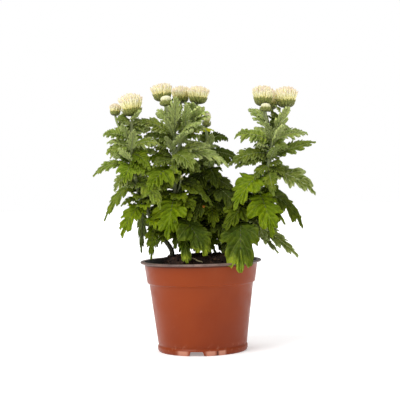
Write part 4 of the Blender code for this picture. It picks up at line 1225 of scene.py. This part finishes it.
def midrib(leaf, share):
    """A point of the leaf's arched midrib and the direction it runs in there."""
    bend = leaf.base.lerp(leaf.tip, BEND_SHARE) + Vector((0, 0, 2 * leaf.arch))
    point = leaf.base.lerp(bend, share).lerp(bend.lerp(leaf.tip, share), share)
    along = (bend - leaf.base).lerp(leaf.tip - bend, share).normalized()
    return point, along


def leaf_frame(leaf, share):
    """The midrib's point, the direction out to the leaf's left, and the way its top faces."""
    point, along = midrib(leaf, share)
    out = (leaf.tip - leaf.base).to_2d().normalized()
    left = Vector((-out.y, out.x, 0))
    up = along.cross(left).normalized()
    turn = math.radians(leaf.tilt) * (1 if out.x >= 0 else -1)
    across = left * math.cos(turn) + up * math.sin(turn)
    face = up * math.cos(turn) - left * math.sin(turn)
    return point, across, face


def leaf_lift(leaf, share, out):
    """How far the blade lies above its midrib: folded up along the middle and waved at its edge."""
    fold = FOLD_HELD if leaf.tip.z > leaf.base.z - HANGING_FALL else FOLD_HANGING
    side = WAVE_SIDE if out > 0 else -WAVE_SIDE
    wave = WAVE * math.sin(WAVE_COUNT * share + leaf.width + side)
    return abs(out) * (fold + wave)


def blade(leaf, grow=0.0, first=0):
    """Points and triangles of a leaf's closed blade, grown on all sides by a clearance."""
    edge, spine = (BROAD_EDGE, BROAD_SPINE) if leaf.width > BROAD_WIDTH else (NARROW_EDGE, NARROW_SPINE)
    middle, sides = [], ([], [])
    for number in range(first, len(spine)):
        point, _, face = leaf_frame(leaf, spine[number])
        middle.append((point, face))
        share, out = edge[number]
        reach = max(out * leaf.width, PETIOLE) + grow
        if share == 1:
            continue
        for row, side in zip(sides, (1, -1)):
            root, across, face = leaf_frame(leaf, share)
            lift = leaf_lift(leaf, share, side * reach)
            row.append((root + across * (side * reach) + face * lift, face))
    rows = middle + sides[0] + sides[1]
    thick = BLADE / 2 + grow
    points = [point + face * thick for point, face in rows]
    points += [point - face * thick for point, face in rows]
    count, last = len(rows), len(middle) - 1
    starts = (len(middle), len(middle) + last)
    top = []
    for i in range(last):
        for start, side in zip(starts, (1, -1)):
            a, b = i, i + 1
            c, d = start + i, start + i + 1
            pair = [(a, b, c)] if b == last else [(a, d, c), (a, b, d)]
            top += [face if side > 0 else face[::-1] for face in pair]
    faces = top + [tuple(index + count for index in reversed(face)) for face in top]
    rim = [last] + [starts[0] + i for i in reversed(range(last))]
    rim += [0] + [starts[1] + i for i in range(last)]
    for a, b in zip(rim, rim[1:] + rim[:1]):
        faces += [(a, a + count, b + count), (a, b + count, b)]
    return points, faces


class Room:
    """What a new leaf has to stay clear of: a search tree and its box for each thing in its way."""

    def __init__(self):
        self.things = []

    def add(self, points, faces, node=None):
        self.things.append((BVHTree.FromPolygons(points, faces), box_of(points), node))

    def holds(self, leaf, node, clearance=CLEARANCE):
        """Whether a leaf of this node, with its clearance, touches nothing."""
        whole, free = blade(leaf, clearance), blade(leaf, clearance, 1)
        trees = [BVHTree.FromPolygons(*free), BVHTree.FromPolygons(*whole)]
        low, high = box_of(whole[0])
        for tree, (other_low, other_high), owner in self.things:
            if any(low[i] > other_high[i] or high[i] < other_low[i] for i in range(3)):
                continue
            if trees[0 if owner == node else 1].overlap(tree):
                return False
        return True


def box_of(points):
    return [[pick(point[axis] for point in points) for axis in range(3)] for pick in (min, max)]


def turned_surface(profile, steps):
    points = []
    for radius, z in profile:
        for step in range(steps):
            angle = step * math.tau / steps
            points.append(Vector((radius * math.cos(angle), radius * math.sin(angle), z)))
    faces = []
    for ring, step in product(range(len(profile) - 1), range(steps)):
        a, b = ring * steps + step, ring * steps + (step + 1) % steps
        faces.append((a, b, b + steps, a + steps))
    return points, faces


def head_place(head):
    """The frame of a head: at its stalk's end, leaning to the right by a few degrees."""
    x, y, z, _ = leaned(head.stalk, STALKS[head.stalk][-1])
    return Matrix.Translation((x, y, z - SEAT)) @ Matrix.Rotation(math.radians(head.lean), 4, "Y")


def head_space(head):
    """A rounded space that a bloom or a bud takes up."""
    wide = head.width / 2 + GAP
    tall = head.height * (1 + BUD_SEAT) + SEAT + GAP
    points, faces = turned_surface([(wide * out, tall * up) for out, up in HEAD_RINGS], HEAD_SIDES)
    ends = [range(HEAD_SIDES), range(len(points) - HEAD_SIDES, len(points))]
    place = head_place(head)
    return [place @ point for point in points], faces + ends


def choices(leaf, behind):
    """The leaf as drawn, then turned aside further and further."""
    steps = product(range(-ASIDE_STEPS, ASIDE_STEPS + 1), range(-LIFT_STEPS, LIFT_STEPS + 1))
    for _, aside, lift in sorted((abs(a) + LIFT_COST * abs(b), a, b) for a, b in steps):
        if behind:
            turn = Matrix.Rotation(BACK_ASIDE * aside, 3, "Z")
            tip = leaf.base + turn @ (leaf.tip - leaf.base) + Vector((0, 0, BACK_LIFT * lift))
        else:
            tip = leaf.tip + Vector((0, FRONT_ASIDE * aside, FRONT_LIFT * lift))
        yield leaf._replace(tip=tip)


def node_of(stalk):
    return next(node for node, stalks in STEMS.items() if stalk in stalks)


def back_leaf(stalk, z, number, spread):
    """A leaf behind a stalk, set by steps of the golden ratio and smaller towards the top."""
    share = number * GOLDEN_STEP % 1
    angle = math.radians(90 + spread * (2 * share - 1))
    up = min(1, max(0, (z - BACK_LOW_Z) / (BACK_HIGH_Z - BACK_LOW_Z)))
    size = 1 - BACK_SHRINK * up
    reach = BACK_REACH * size
    fall = BACK_FALL_LOW + (BACK_FALL_HIGH - BACK_FALL_LOW) * up
    base = point_at_height(stalk, z)
    tip = base + Vector((reach * math.cos(angle), reach * math.sin(angle), fall))
    return Leaf(stalk, base, tip, BACK_ARCH * size, BACK_WIDTH * size, BACK_TILT)


def drawn_leaves(table, clearance):
    """The leaves of a table as drawn, each with its tone and the room that it needs."""
    for stalk, z, tip, arch, width, tilt, tone in table:
        leaf = Leaf(stalk, point_at_height(stalk, z), leaned(stalk, tip), arch, width, tilt)
        yield leaf, False, tone, clearance


def back_leaves():
    for stalk, low, high, count, spread in BACK_LEAVES:
        for number in range(count):
            z = low + (high - low) * number / (count - 1)
            tones = BACK_TONES[z > UPPER_LEAVES_Z]
            yield back_leaf(stalk, z, number, spread), True, tones[number % len(tones)], CLEARANCE


def in_open_window(leaf):
    """Whether a leaf would close one of the gaps that the front view shows."""
    for share in WINDOW_SHARES:
        x, _, z = midrib(leaf, share)[0]
        if any(left < x < right and low < z < high for left, right, low, high in OPEN_WINDOWS):
            return True
    return False


def settle_leaf(room, tries, clearance):
    """Puts the first of a leaf's tries that has room there, and gives it alone or nothing."""
    for leaf in tries:
        node = node_of(leaf.stalk)
        if room.holds(leaf, node, clearance):
            room.add(*blade(leaf), node)
            return [leaf]
    return []


def grow_leaves(room):
    """The main leaves with their tones, each turned aside until it clears what grew before it."""
    room.add(*turned_surface(POT_TOP, POT_TOP_STEPS))
    for node, stalks in STEMS.items():
        for stalk in stalks:
            room.add(*draft_tube(stalk), node)
    for head in (*BLOOMS.values(), *BUDS.values()):
        room.add(*head_space(head))
    front, fill = drawn_leaves(FRONT_LEAVES, CLEARANCE), drawn_leaves(FILL_LEAVES, SMALL_CLEARANCE)
    leaves = []
    for leaf, behind, tone, clearance in (*front, *back_leaves(), *fill):
        tries = (one for one in choices(leaf, behind) if not (behind and in_open_window(one)))
        leaves += [(one, tone, False) for one in settle_leaf(room, tries, clearance)]
    return leaves


def small_leaf_tries(stalk, base, length, pitch, angle):
    """A small leaf as wanted, then turned, raised, lowered and shortened bit by bit."""
    for size, lift, step in product(SMALL_SIZES, SMALL_LIFTS, SMALL_TURNS):
        turn, rise = angle + SMALL_TURN * step, math.radians(pitch + lift)
        out = Vector((math.cos(turn) * math.cos(rise), math.sin(turn) * math.cos(rise), math.sin(rise)))
        if base.z > BARE_FRONT_Z and out.y < BARE_FRONT:
            continue
        tilt = SIDE_TILT if abs(out.x) > 0.5 else FRONT_TILT
        arch, width = SMALL_ARCH * length * size, SMALL_WIDTH * length * size
        yield Leaf(stalk, base, base + out * length * size, arch, width, tilt)


def grow_small_leaves(room):
    """Small leaves up each stalk, a golden angle apart, wherever there is room for one."""
    leaves = []
    dice = random.Random(5)
    for stalk, low, high, rise, low_length, high_length, low_pitch, high_pitch in SMALL_LEAVES:
        for number in range(int((high - low) / rise) + 1):
            share = number * rise / (high - low)
            base = point_at_height(stalk, low + share * (high - low))
            length = (low_length + (high_length - low_length) * share) * dice.uniform(*SMALL_LENGTH_SPREAD)
            pitch = low_pitch + (high_pitch - low_pitch) * share + dice.uniform(*SMALL_PITCH_SPREAD)
            if base.z > SMALL_YOUNG_Z:
                tone = SMALL_YOUNG_TONES[number % len(SMALL_YOUNG_TONES)]
            else:
                tone = dice.choice(SMALL_TONES[stalk in ("left", "right")])
            tries = small_leaf_tries(stalk, base, length, pitch, number * GOLDEN_ANGLE)
            tries = (one for one in tries if not in_open_window(one))
            leaves += [(one, tone, True) for one in settle_leaf(room, tries, SMALL_CLEARANCE)]
    return leaves


# The finished leaves


LeafShape = namedtuple("LeafShape", "lobes aspect start end angle envelope sinus teeth tooth rows columns")
BROAD_SHAPE = LeafShape(
    3.5, 1.5, 0.15, 0.85, 84,
    ((0, 0.40), (0.143, 0.60), (0.3, 0.66), (0.43, 0.66), (0.6, 0.52), (0.714, 0.45), (0.85, 0.34),
     (1, 0.225)),
    0.34, 3, 0.12, 56, 5,
)
NARROW_SHAPE = LeafShape(
    4.5, 2.2, 0.13, 0.84, 75,
    ((0, 0.34), (0.15, 0.62), (0.32, 0.74), (0.55, 0.64), (0.75, 0.52), (0.9, 0.42), (1, 0.352)),
    0.30, 2, 0.12, 48, 4,
)
# A full leaf with shallow lobes, for those that hang low, and a feathery one that stands upright
FULL_SHAPE = BROAD_SHAPE._replace(
    envelope=((0, 0.44), (0.143, 0.60), (0.3, 0.66), (0.43, 0.68), (0.6, 0.62), (0.714, 0.55),
              (0.85, 0.42), (1, 0.20)),
    sinus=0.25, tooth=0.10, end=0.87,
)
UPRIGHT_SHAPE = NARROW_SHAPE._replace(
    aspect=1.7, angle=46, sinus=0.62, start=0.20,
    envelope=((0, 0.60), (0.15, 0.78), (0.32, 0.82), (0.55, 0.68), (0.75, 0.52), (0.9, 0.42), (1, 0.352)),
)
FEATHER_SHAPE = NARROW_SHAPE._replace(aspect=2.0, angle=64, sinus=0.52, tooth=0.15)
SMALL_SHAPE = NARROW_SHAPE._replace(lobes=3.5, rows=25, columns=3)
YOUNG_SHAPE = SMALL_SHAPE._replace(angle=60, sinus=0.50)
LEAF_SHAPES = {
    "broad": BROAD_SHAPE, "narrow": NARROW_SHAPE, "full": FULL_SHAPE, "upright": UPRIGHT_SHAPE,
    "feather": FEATHER_SHAPE, "small": SMALL_SHAPE, "young": YOUNG_SHAPE,
}
PETIOLE_ROWS = 3
# How sharply the gaps between lobes and teeth are cut, and how the lobes fan out and sweep forward
SINUS_POWER = 3
TOOTH_POWER = 0.7
FAN_POWER = 0.6
SWEEP_POWER = 1.25
RIB_SIDES = 6
RIB_STEPS = 12
RIB_SUNK = 0.25
RIB_TAPER = 0.78
# How thick the rib is at its foot and how far along the leaf it runs, on main and on small leaves
RIBS = ((0.95, 0.8), (0.5, 0.6))
LEAF_THICKNESS = 0.42
FlatLeaf = namedtuple("FlatLeaf", "mesh along out petiole lobe side")


def flat_grid(name, rows, columns):
    """A flat sheet with its UV map, and its points' places along and across it, from -1 to 1."""
    bpy.ops.mesh.primitive_grid_add(x_subdivisions=rows, y_subdivisions=columns, size=2, calc_uvs=True)
    obj = bpy.context.object
    mesh = obj.data
    mesh.name = name
    mesh.uv_layers[0].name = "UVMap"
    bpy.data.objects.remove(obj, do_unlink=True)
    return mesh, *np.array([vertex.co[:2] for vertex in mesh.vertices]).T


def flat_leaf(name, shape):
    """A lobed and toothed leaf modelled flat, with rows that run from its midrib to its edge."""
    mesh, ahead, side = flat_grid(name, shape.rows, 2 * shape.columns)
    row = np.rint((ahead + 1) / 2 * shape.rows)
    share = np.clip((row - PETIOLE_ROWS) / (shape.rows - PETIOLE_ROWS), 0, 1)
    lobe = shape.lobes * share
    stations, lengths = zip(*shape.envelope)
    reach = np.interp(share, stations, lengths)
    reach = reach * (1 - shape.sinus * ((1 + np.cos(math.tau * lobe)) / 2) ** SINUS_POWER)
    teeth = np.abs(np.sin(shape.teeth * math.pi * lobe)) ** TOOTH_POWER
    reach = reach * (1 - shape.tooth + shape.tooth * teeth)
    angle = math.radians(shape.angle) * (1 - share) ** FAN_POWER
    root = shape.start + (shape.end - shape.start) * share
    along = root + np.abs(side) ** SWEEP_POWER * reach * np.cos(angle) / shape.aspect
    out = side * reach * np.sin(angle)
    stalk_rows = row < PETIOLE_ROWS
    along = np.where(stalk_rows, shape.start * row / PETIOLE_ROWS, along)
    out = np.where(stalk_rows, 0, out)
    corners = np.zeros(len(mesh.loops), np.int32)
    mesh.loops.foreach_get("vertex_index", corners)
    uv = np.stack([lobe[corners], (side[corners] + 1) / 2], axis=1)
    mesh.uv_layers["UVMap"].data.foreach_set("uv", uv.ravel().astype(np.float32))
    petiole = np.where(stalk_rows, side, 0)
    return FlatLeaf(mesh, along, out, petiole, lobe, side)


def row_dot(first, second):
    return np.sum(first * second, axis=1, keepdims=True)


def bent_points(flat, leaf, seed):
    """The flat leaf's points laid along a leaf's arched midrib, folded, waved and quilted."""
    base, tip = np.array(leaf.base), np.array(leaf.tip)
    bend = base + (tip - base) * BEND_SHARE + np.array((0, 0, 2 * leaf.arch))
    a = np.clip(flat.along, 0, 1)[:, None]
    points = (1 - a) ** 2 * base + 2 * a * (1 - a) * bend + a ** 2 * tip
    along = (1 - a) * (bend - base) + a * (tip - bend)
    along /= np.sqrt(row_dot(along, along))
    flat_out = (tip - base)[:2] / np.linalg.norm((tip - base)[:2])
    left = np.array((-flat_out[1], flat_out[0], 0.0))
    up = np.cross(along, left)
    up /= np.sqrt(row_dot(up, up))
    turn = math.radians(leaf.tilt) * (1 if flat_out[0] >= 0 else -1)
    across = left * math.cos(turn) + up * math.sin(turn)
    face = up * math.cos(turn) - left * math.sin(turn)
    dice = random.Random(seed)
    uneven = 1 + UNEVEN_SIDES * math.sin(seed) * np.sign(flat.side)
    uneven = uneven + UNEVEN_LOBES * np.sin(flat.lobe * 2.1 + seed)
    slim = 1 - SLIMMING * min(1, max(0, (leaf.tilt - 30) / 18))
    out = flat.out * leaf.width * slim * uneven + PETIOLE_HALF * flat.petiole
    fold = FOLD_HELD if leaf.tip.z > leaf.base.z - HANGING_FALL else FOLD_HANGING
    phase = WAVE_COUNT * flat.along + leaf.width + WAVE_SIDE * np.sign(out)
    soft = np.sqrt(out ** 2 + 1.0) - 1.0
    lift = soft * (fold + WAVE * np.sin(phase))
    far = np.abs(flat.side)
    quilt = -QUILT * np.cos(2 * math.tau * flat.lobe) * np.sin(math.pi * far ** 0.8)
    droop = -DROOP * far ** 2 * (1 - np.cos(math.tau * flat.lobe)) / 2 * dice.uniform(0.5, 1.5)
    ruffle = RUFFLE * far ** 2 * np.sin(3 * math.tau * flat.lobe + seed)
    crinkle = CRINKLE * np.sin(2.3 * math.tau * flat.lobe + 4 * far + seed) * np.sin(9 * far + 2 * seed)
    frill = YOUNG_FRILL if leaf.base.z > UPPER_LEAVES_Z else OLD_FRILL
    lift = lift + frill * leaf.width * (quilt + droop + ruffle + crinkle) * (flat.petiole == 0)
    return points + across * out[:, None] + face * lift[:, None], out


def leaf_object(flat, leaf, tone, seed, materials):
    mesh = flat.mesh.copy()
    points, out = bent_points(flat, leaf, seed)
    mesh.vertices.foreach_set("co", (points * MM).ravel().astype(np.float32))
    with_attribute(mesh, "rib", np.abs(out))
    height = leaf.base.z + (LEFT_SHORTER if leaf.stalk == "left" else 0)
    young = np.interp(height, *zip(*YOUNG_FROM)) * YOUNG_SHARE.get(tone, 0)
    with_attribute(mesh, "down", 1.0 if tone in DOWNY_TONES else YOUNG_DOWN * young)
    # Painted light and shade: leaves lighter by height and by shoot, on top of each leaf's own random
    # lightness
    light = random.Random(seed).uniform(*LIGHT_SPREAD) * np.interp(leaf.base.z, *zip(*PAINTED_LIGHT_BY_HEIGHT))
    if leaf.stalk in PAINTED_LIGHT_BY_SHOOT:
        light *= np.interp(leaf.base.z, *zip(*PAINTED_LIGHT_BY_SHOOT[leaf.stalk]))
    base = np.array(linear(*TONES[tone])) * (1 - young) + np.array(linear(*TONES["young"])) * young
    base *= light
    tones = np.ones((len(points), 4), np.float32)
    tones[:, :3] = base
    if tone == "hanging":
        uneven = 0.05 * np.sin(5 * flat.side + seed) + 0.03 * np.sin(13 * flat.side + 2 * seed)
        ripe = np.clip((flat.along - RIPE_FROM - uneven) / 0.10, 0, 1)[:, None] * RIPENESS
        tones[:, :3] = base * (1 - ripe) + np.array(linear(*RIPE)) * ripe
    with_attribute(mesh, "tone", tones)
    return new_object("leaf", mesh, *materials)


def rib_path(leaf, thick, end):
    """The path of a leaf's stalk and midrib, which shows as a rib under the blade."""
    path = []
    for step in range(RIB_STEPS + 1):
        share = end * step / RIB_STEPS
        point, _, face = leaf_frame(leaf, share)
        sunk = 0.0 if share < 0.12 else RIB_SUNK
        path.append((*(point - face * sunk), thick * (1 - RIB_TAPER * share)))
    return path


def leaf_kind(leaf, tone, small):
    """Which of the flat leaves a leaf is made from."""
    high = leaf.base.z > UPPER_LEAVES_Z
    if small:
        return "young" if high else "small"
    if tone == "hanging":
        return "full"
    if high and tone in DOWNY_TONES:
        return "upright" if tone == "pale" else "feather"
    return "broad" if leaf.width > BROAD_WIDTH else "narrow"


def make_leaves(node, leaves, flats, materials, stalk_material):
    """A stem's leaves as one piece, and their ribs as another."""
    sheets, ribs = [], []
    for number, (leaf, tone, small) in enumerate(leaves):
        flat = flats[leaf_kind(leaf, tone, small)]
        sheets.append(leaf_object(flat, leaf, tone, number + len(node), materials))
        ribs.append(tube("rib", rib_path(leaf, *RIBS[small]), RIB_SIDES, stalk_material))
    foliage = joined(node + "_leaves", sheets)
    bpy.ops.object.mode_set(mode="EDIT")
    bpy.ops.mesh.select_all(action="SELECT")
    bpy.ops.mesh.remove_doubles(threshold=0.002 * MM)
    bpy.ops.object.mode_set(mode="OBJECT")
    thickened(foliage, LEAF_THICKNESS, underside=1)
    settled(foliage, "foliage", node)
    settled(joined(node + "_ribs", ribs), "foliage", node)


STALK_STEPS = 8
STALK_SIDES = 16


def make_stalks(node, stalks, leaves, material):
    tubes = []
    for stalk in stalks:
        own = [leaf for leaf, _, _ in leaves if leaf.stalk == stalk]
        path = swollen(smooth_path(stalk, STALK_STEPS), own)
        tubes.append(tube(stalk, path, STALK_SIDES, material))
    settled(joined(node + "_stalks", tubes), "foliage", node)


# Petals, cups and buds


FlatStrap = namedtuple("FlatStrap", "mesh along side")


def flat_strap(name, rows, columns):
    """A narrow strip modelled flat, which petals and bracts are shaped from."""
    mesh, ahead, side = flat_grid(name, rows, columns)
    return FlatStrap(mesh, (ahead + 1) / 2, side)


def arched(start, bend, end):
    """A path in radius and height, from start to end over a bend."""
    start, bend, end = (np.array(place, float) for place in (start, bend, end))

    def path(share):
        share = share[:, None]
        return (1 - share) ** 2 * start + 2 * share * (1 - share) * bend + share ** 2 * end

    return path


def round_bud(width, height, start, end):
    """A path up the outside of a bud, its angles in degrees from the foot."""

    def path(share):
        angle = np.radians(start + (end - start) * share)
        full = 1 + BUD_SEAT * -np.cos(angle)
        return np.stack([np.sin(angle) * width / 2 * full, (1 - np.cos(angle)) * height / 2], axis=1)

    return path


def strap_object(flat, path, outline, half_width, curl, angle, flush, material):
    """A strip bent along a path and turned about the head's axis, with its edges curled inwards."""
    centre = path(flat.along)
    ahead = path(np.minimum(flat.along + 0.01, 1)) - path(np.maximum(flat.along - 0.01, 0))
    ahead /= np.linalg.norm(ahead, axis=1)[:, None]
    shares, widths = zip(*outline)
    reach = flat.side * half_width * np.interp(flat.along, shares, widths)
    inward = curl * half_width * flat.side ** 2
    radius = centre[:, 0] - ahead[:, 1] * inward
    height = centre[:, 1] + ahead[:, 0] * inward
    points = np.stack([radius, reach, height], axis=1)
    turn = np.array(Matrix.Rotation(angle, 3, "Z"))
    mesh = flat.mesh.copy()
    mesh.vertices.foreach_set("co", (points @ turn.T * MM).ravel().astype(np.float32))
    with_attribute(mesh, "flush", flush)
    return new_object("strap", mesh, material)


PETAL_OUTLINE = ((0, 0.5), (0.35, 0.8), (0.75, 1.0), (0.93, 0.78), (1, 0.30))
BRACT_OUTLINE = ((0, 0.8), (0.4, 1.0), (0.8, 0.75), (1, 0.12))
BUD_OUTLINE = ((0, 0.6), (0.45, 1.0), (0.8, 0.72), (1, 0.2))
# Each whorl of petals, from the outside in: how many, where they start, bend and end as radius and
# height, and half their width.
WHORLS = (
    (25, (5.8, 3.1), (10.0, 6.0), (13.1, 18.4), 1.5),
    (24, (5.7, 4.0), (10.0, 8.2), (12.3, 20.2), 1.45),
    (22, (5.5, 5.0), (9.8, 10.8), (10.6, 21.8), 1.4),
    (19, (5.4, 7.0), (9.6, 13.0), (8.2, 23.2), 1.4),
    (15, (4.4, 9.0), (7.4, 14.0), (6.2, 23.8), 1.35),
    (11, (3.0, 11.0), (5.0, 15.0), (4.0, 24.2), 1.3),
    (6, (1.4, 13.0), (2.2, 17.0), (1.8, 24.2), 1.25),
)
# How far a petal strays: to the side in steps of its whorl, outwards and up at its tip, in width and in
# how much its edges curl
PETAL_STRAY = 0.22
PETAL_OUT = (-1.1, 0.8)
PETAL_UP = (-2.0, 1.0)
PETAL_WIDTHS = (0.85, 1.15)
PETAL_CURLS = (0.25, 0.6)
PETAL_THICKNESS = 0.34
HEART_RADIUS = 6.6
HEART_Z = 11.5
HEART_TALL = 7.0
# Each whorl of a bud's petals: how many, how far over its top they reach, in degrees, and their size
BUD_WHORLS = ((10, 166, 1.0), (9, 174, 0.965))
BUD_PETAL_FOOT = 20
BUD_PETAL_ENDS = (-14, 4)
BUD_SNUG = 0.97
BUD_PETAL_WIDTH = 0.20
BUD_PETAL_CURL = 0.18
BUD_PETAL_THICKNESS = 0.26
BUD_HEART_WIDE = 0.45
BUD_HEART_TALL = 0.95
BRACT_STRAY = 0.12
BRACT_CURL = 0.25
BRACT_THICKNESS = 0.36
BOWL_STEPS = 32


def head_matrix(head, rise):
    """Where a head's petals or cup go: at its stalk's end, raised by a little."""
    place = head_place(head)
    turn = place.to_3x3().to_4x4()
    return Matrix.Translation(place.translation * MM) @ turn @ Matrix.Translation((0, 0, rise * MM))


def rounded_heart(segments, shape):
    """The smooth middle of a head, which its petals hide."""
    bpy.ops.mesh.primitive_uv_sphere_add(segments=segments, ring_count=segments // 2, radius=1)
    heart = bpy.context.object
    for vertex in heart.data.vertices:
        vertex.co = shape(vertex.co) * MM
    heart.data.uv_layers[0].name = "UVMap"
    with_attribute(heart.data, "flush", 0.0)
    return heart


def finished_head(name, petals, thickness, heart, place, slot):
    """A head's petals, given their thickness and joined with its heart, in its place."""
    whole = joined(name + "_petals", petals)
    thickened(whole, thickness)
    whole = joined(name + "_petals", [whole, rounded_heart(*heart)])
    whole.data.transform(place)
    settled(whole, slot, name)


def strayed(dice, most):
    return dice.uniform(-most, most)


def make_bloom(name, head, number, flat, material):
    """A half-open bloom: whorls of petals, each a little out of step with the next."""
    dice = random.Random(30 + number)
    petals = []
    for whorl, (count, start, bend, end, half_width) in enumerate(WHORLS):
        for petal in range(count):
            angle = (petal + 0.5 * (whorl % 2) + strayed(dice, PETAL_STRAY)) * math.tau / count
            out, up = dice.uniform(*PETAL_OUT), dice.uniform(*PETAL_UP)
            path = arched(start, (bend[0] + 0.4 * out, bend[1]), (end[0] + out, end[1] + up))
            petals.append(strap_object(
                flat, path, PETAL_OUTLINE, half_width * dice.uniform(*PETAL_WIDTHS),
                dice.uniform(*PETAL_CURLS), angle, dice.uniform(0.1, 1.0), material,
            ))
    wide = head.width / BLOOM_SIZE
    size = Matrix.Diagonal((wide, wide, head.height / BLOOM_SIZE, 1))
    place = head_matrix(head, SEAT + GAP - CUP_PLAY * head.width) @ size

    def heart_point(point):
        return Vector((point.x * HEART_RADIUS, point.y * HEART_RADIUS, HEART_Z + point.z * HEART_TALL))

    finished_head(name, petals, PETAL_THICKNESS, (24, heart_point), place, "petals")


# Each row of bracts: how many, where they start, bend and end as shares of the width and height,
# and half their width as a share of the width.
BLOOM_BRACTS = (
    (15, (0.10, -0.04), (0.36, -0.01), (0.445, 0.27), 0.072),
    (15, (0.10, -0.02), (0.36, 0.01), (0.460, 0.34), 0.062),
    (12, (0.10, -0.06), (0.35, -0.04), (0.410, 0.18), 0.060),
)
BUD_BRACTS = (
    (9, (0.18, -0.08), (0.62, 0.02), (0.585, 0.58), 0.15),
    (9, (0.18, -0.06), (0.60, 0.05), (0.575, 0.72), 0.13),
    (8, (0.18, -0.10), (0.60, -0.04), (0.600, 0.38), 0.11),
)
# The plain cup under the bracts, as shares of the width and height.
BLOOM_BOWL = (
    (0.02, -0.06), (0.10, -0.055), (0.22, -0.01), (0.30, 0.05), (0.36, 0.13), (0.395, 0.21),
    (0.375, 0.22), (0.31, 0.13), (0.20, 0.06), (0.02, 0.04),
)
BUD_BOWL = (
    (0.02, -0.12), (0.20, -0.11), (0.44, 0.0), (0.545, 0.16), (0.56, 0.30), (0.53, 0.30),
    (0.42, 0.08), (0.18, 0.02), (0.02, 0.0),
)


def make_cup(head, rows, bowl, flat, material):
    """The green cup under a head with its rows of bracts."""
    width, height = head.width, head.height * head.bracts
    dice = random.Random(int(width * 10))
    pieces = []
    for row, (count, start, bend, end, half_width) in enumerate(rows):
        for bract in range(count):
            angle = (bract + 0.5 * (row % 2) + strayed(dice, BRACT_STRAY)) * math.tau / count
            start_at, bend_at, (out, up) = ((out * width, up * height) for out, up in (start, bend, end))
            path = arched(start_at, bend_at, (out, up + strayed(dice, 0.5)))
            pieces.append(strap_object(
                flat, path, BRACT_OUTLINE, half_width * width, BRACT_CURL, angle, 0.0, material,
            ))
    cup = joined("bracts", pieces)
    thickened(cup, BRACT_THICKNESS)
    dish = spun("bowl", [(out * width, up * height) for out, up in bowl], BOWL_STEPS)
    dish.data.materials.append(material)
    dish.data.uv_layers.new(name="UVMap")
    with_attribute(dish.data, "flush", 0.0)
    cup = joined("cup", [cup, dish])
    cup.data.transform(head_matrix(head, SEAT))
    return cup


def make_bud(name, head, number, flat, material):
    """A bud: a smooth heart with petals folded over it."""
    width, height = head.width, head.height
    dice = random.Random(60 + number)
    petals = []
    for whorl, (count, end, grow) in enumerate(BUD_WHORLS):
        for petal in range(count):
            angle = (petal + 0.5 * whorl + strayed(dice, 0.1)) * math.tau / count
            end_at = end + dice.uniform(*BUD_PETAL_ENDS)
            petals.append(strap_object(
                flat, round_bud(width * grow * BUD_SNUG, height, BUD_PETAL_FOOT, end_at), BUD_OUTLINE,
                width * BUD_PETAL_WIDTH, BUD_PETAL_CURL, angle, dice.uniform(0.0, 0.5), material,
            ))

    def heart_point(point):
        full = (1 + BUD_SEAT * point.z) * BUD_HEART_WIDE * width
        return Vector((point.x * full, point.y * full, (point.z * BUD_HEART_TALL + 1) * height / 2))

    place = head_matrix(head, SEAT + GAP + BUD_SEAT * height)
    finished_head(name, petals, BUD_PETAL_THICKNESS, (28, heart_point), place, "buds")


def make_heads(petal, bud_petal, bract):
    flat_petal, flat_bract = flat_strap("flat_petal", 6, 4), flat_strap("flat_bract", 5, 4)
    for number, (name, head) in enumerate(BLOOMS.items()):
        make_bloom(name, head, number, flat_petal, petal)
    for number, (name, head) in enumerate(BUDS.items()):
        make_bud(name, head, number, flat_petal, bud_petal)
    for node, stalks in STEMS.items():
        cups = []
        for table, rows, bowl in ((BLOOMS, BLOOM_BRACTS, BLOOM_BOWL), (BUDS, BUD_BRACTS, BUD_BOWL)):
            for head in table.values():
                if head.stalk in stalks:
                    cups.append(make_cup(head, rows, bowl, flat_bract, bract))
        if cups:
            settled(joined(node + "_cups", cups), "foliage", node)


STRAW_STEPS = 12
STRAW_FROM = (-12.5, -35.5)
STRAW_RUN = (14.5, -8.5)
STRAW_LIFT = 2.0


def make_straw(material):
    """A dry bit of stalk that lies on the soil behind the lip."""
    path = []
    for step in range(STRAW_STEPS + 1):
        share = step / STRAW_STEPS
        x = STRAW_FROM[0] + STRAW_RUN[0] * share
        y = STRAW_FROM[1] + STRAW_RUN[1] * share ** 0.8
        path.append((x, y, soil_height(x, y) + STRAW_LIFT, 0.9 - 0.35 * share))
    settled(tube("dry_straw", path, 8, material), "potting_soil", "soil")


def make_stems(skins, stalk_material):
    room = Room()
    leaves = grow_leaves(room) + grow_small_leaves(room)
    flats = {name: flat_leaf("flat_" + name, shape) for name, shape in LEAF_SHAPES.items()}
    for node, stalks in STEMS.items():
        own = [entry for entry in leaves if entry[0].stalk in stalks]
        make_leaves(node, own, flats, skins, stalk_material)
        make_stalks(node, stalks, own, stalk_material)


def main():
    add_camera()
    add_floor()
    add_studio()
    make_pot()
    make_soil(potting_soil())
    make_crumbs(soil_crumb())
    make_straw(straw_skin())
    make_stems((leaf_top(), leaf_underside()), stalk_skin())
    petals = [petal_skin(name, *colours) for name, colours in PETAL_SKINS.items()]
    make_heads(*petals, bract_skin())


main()
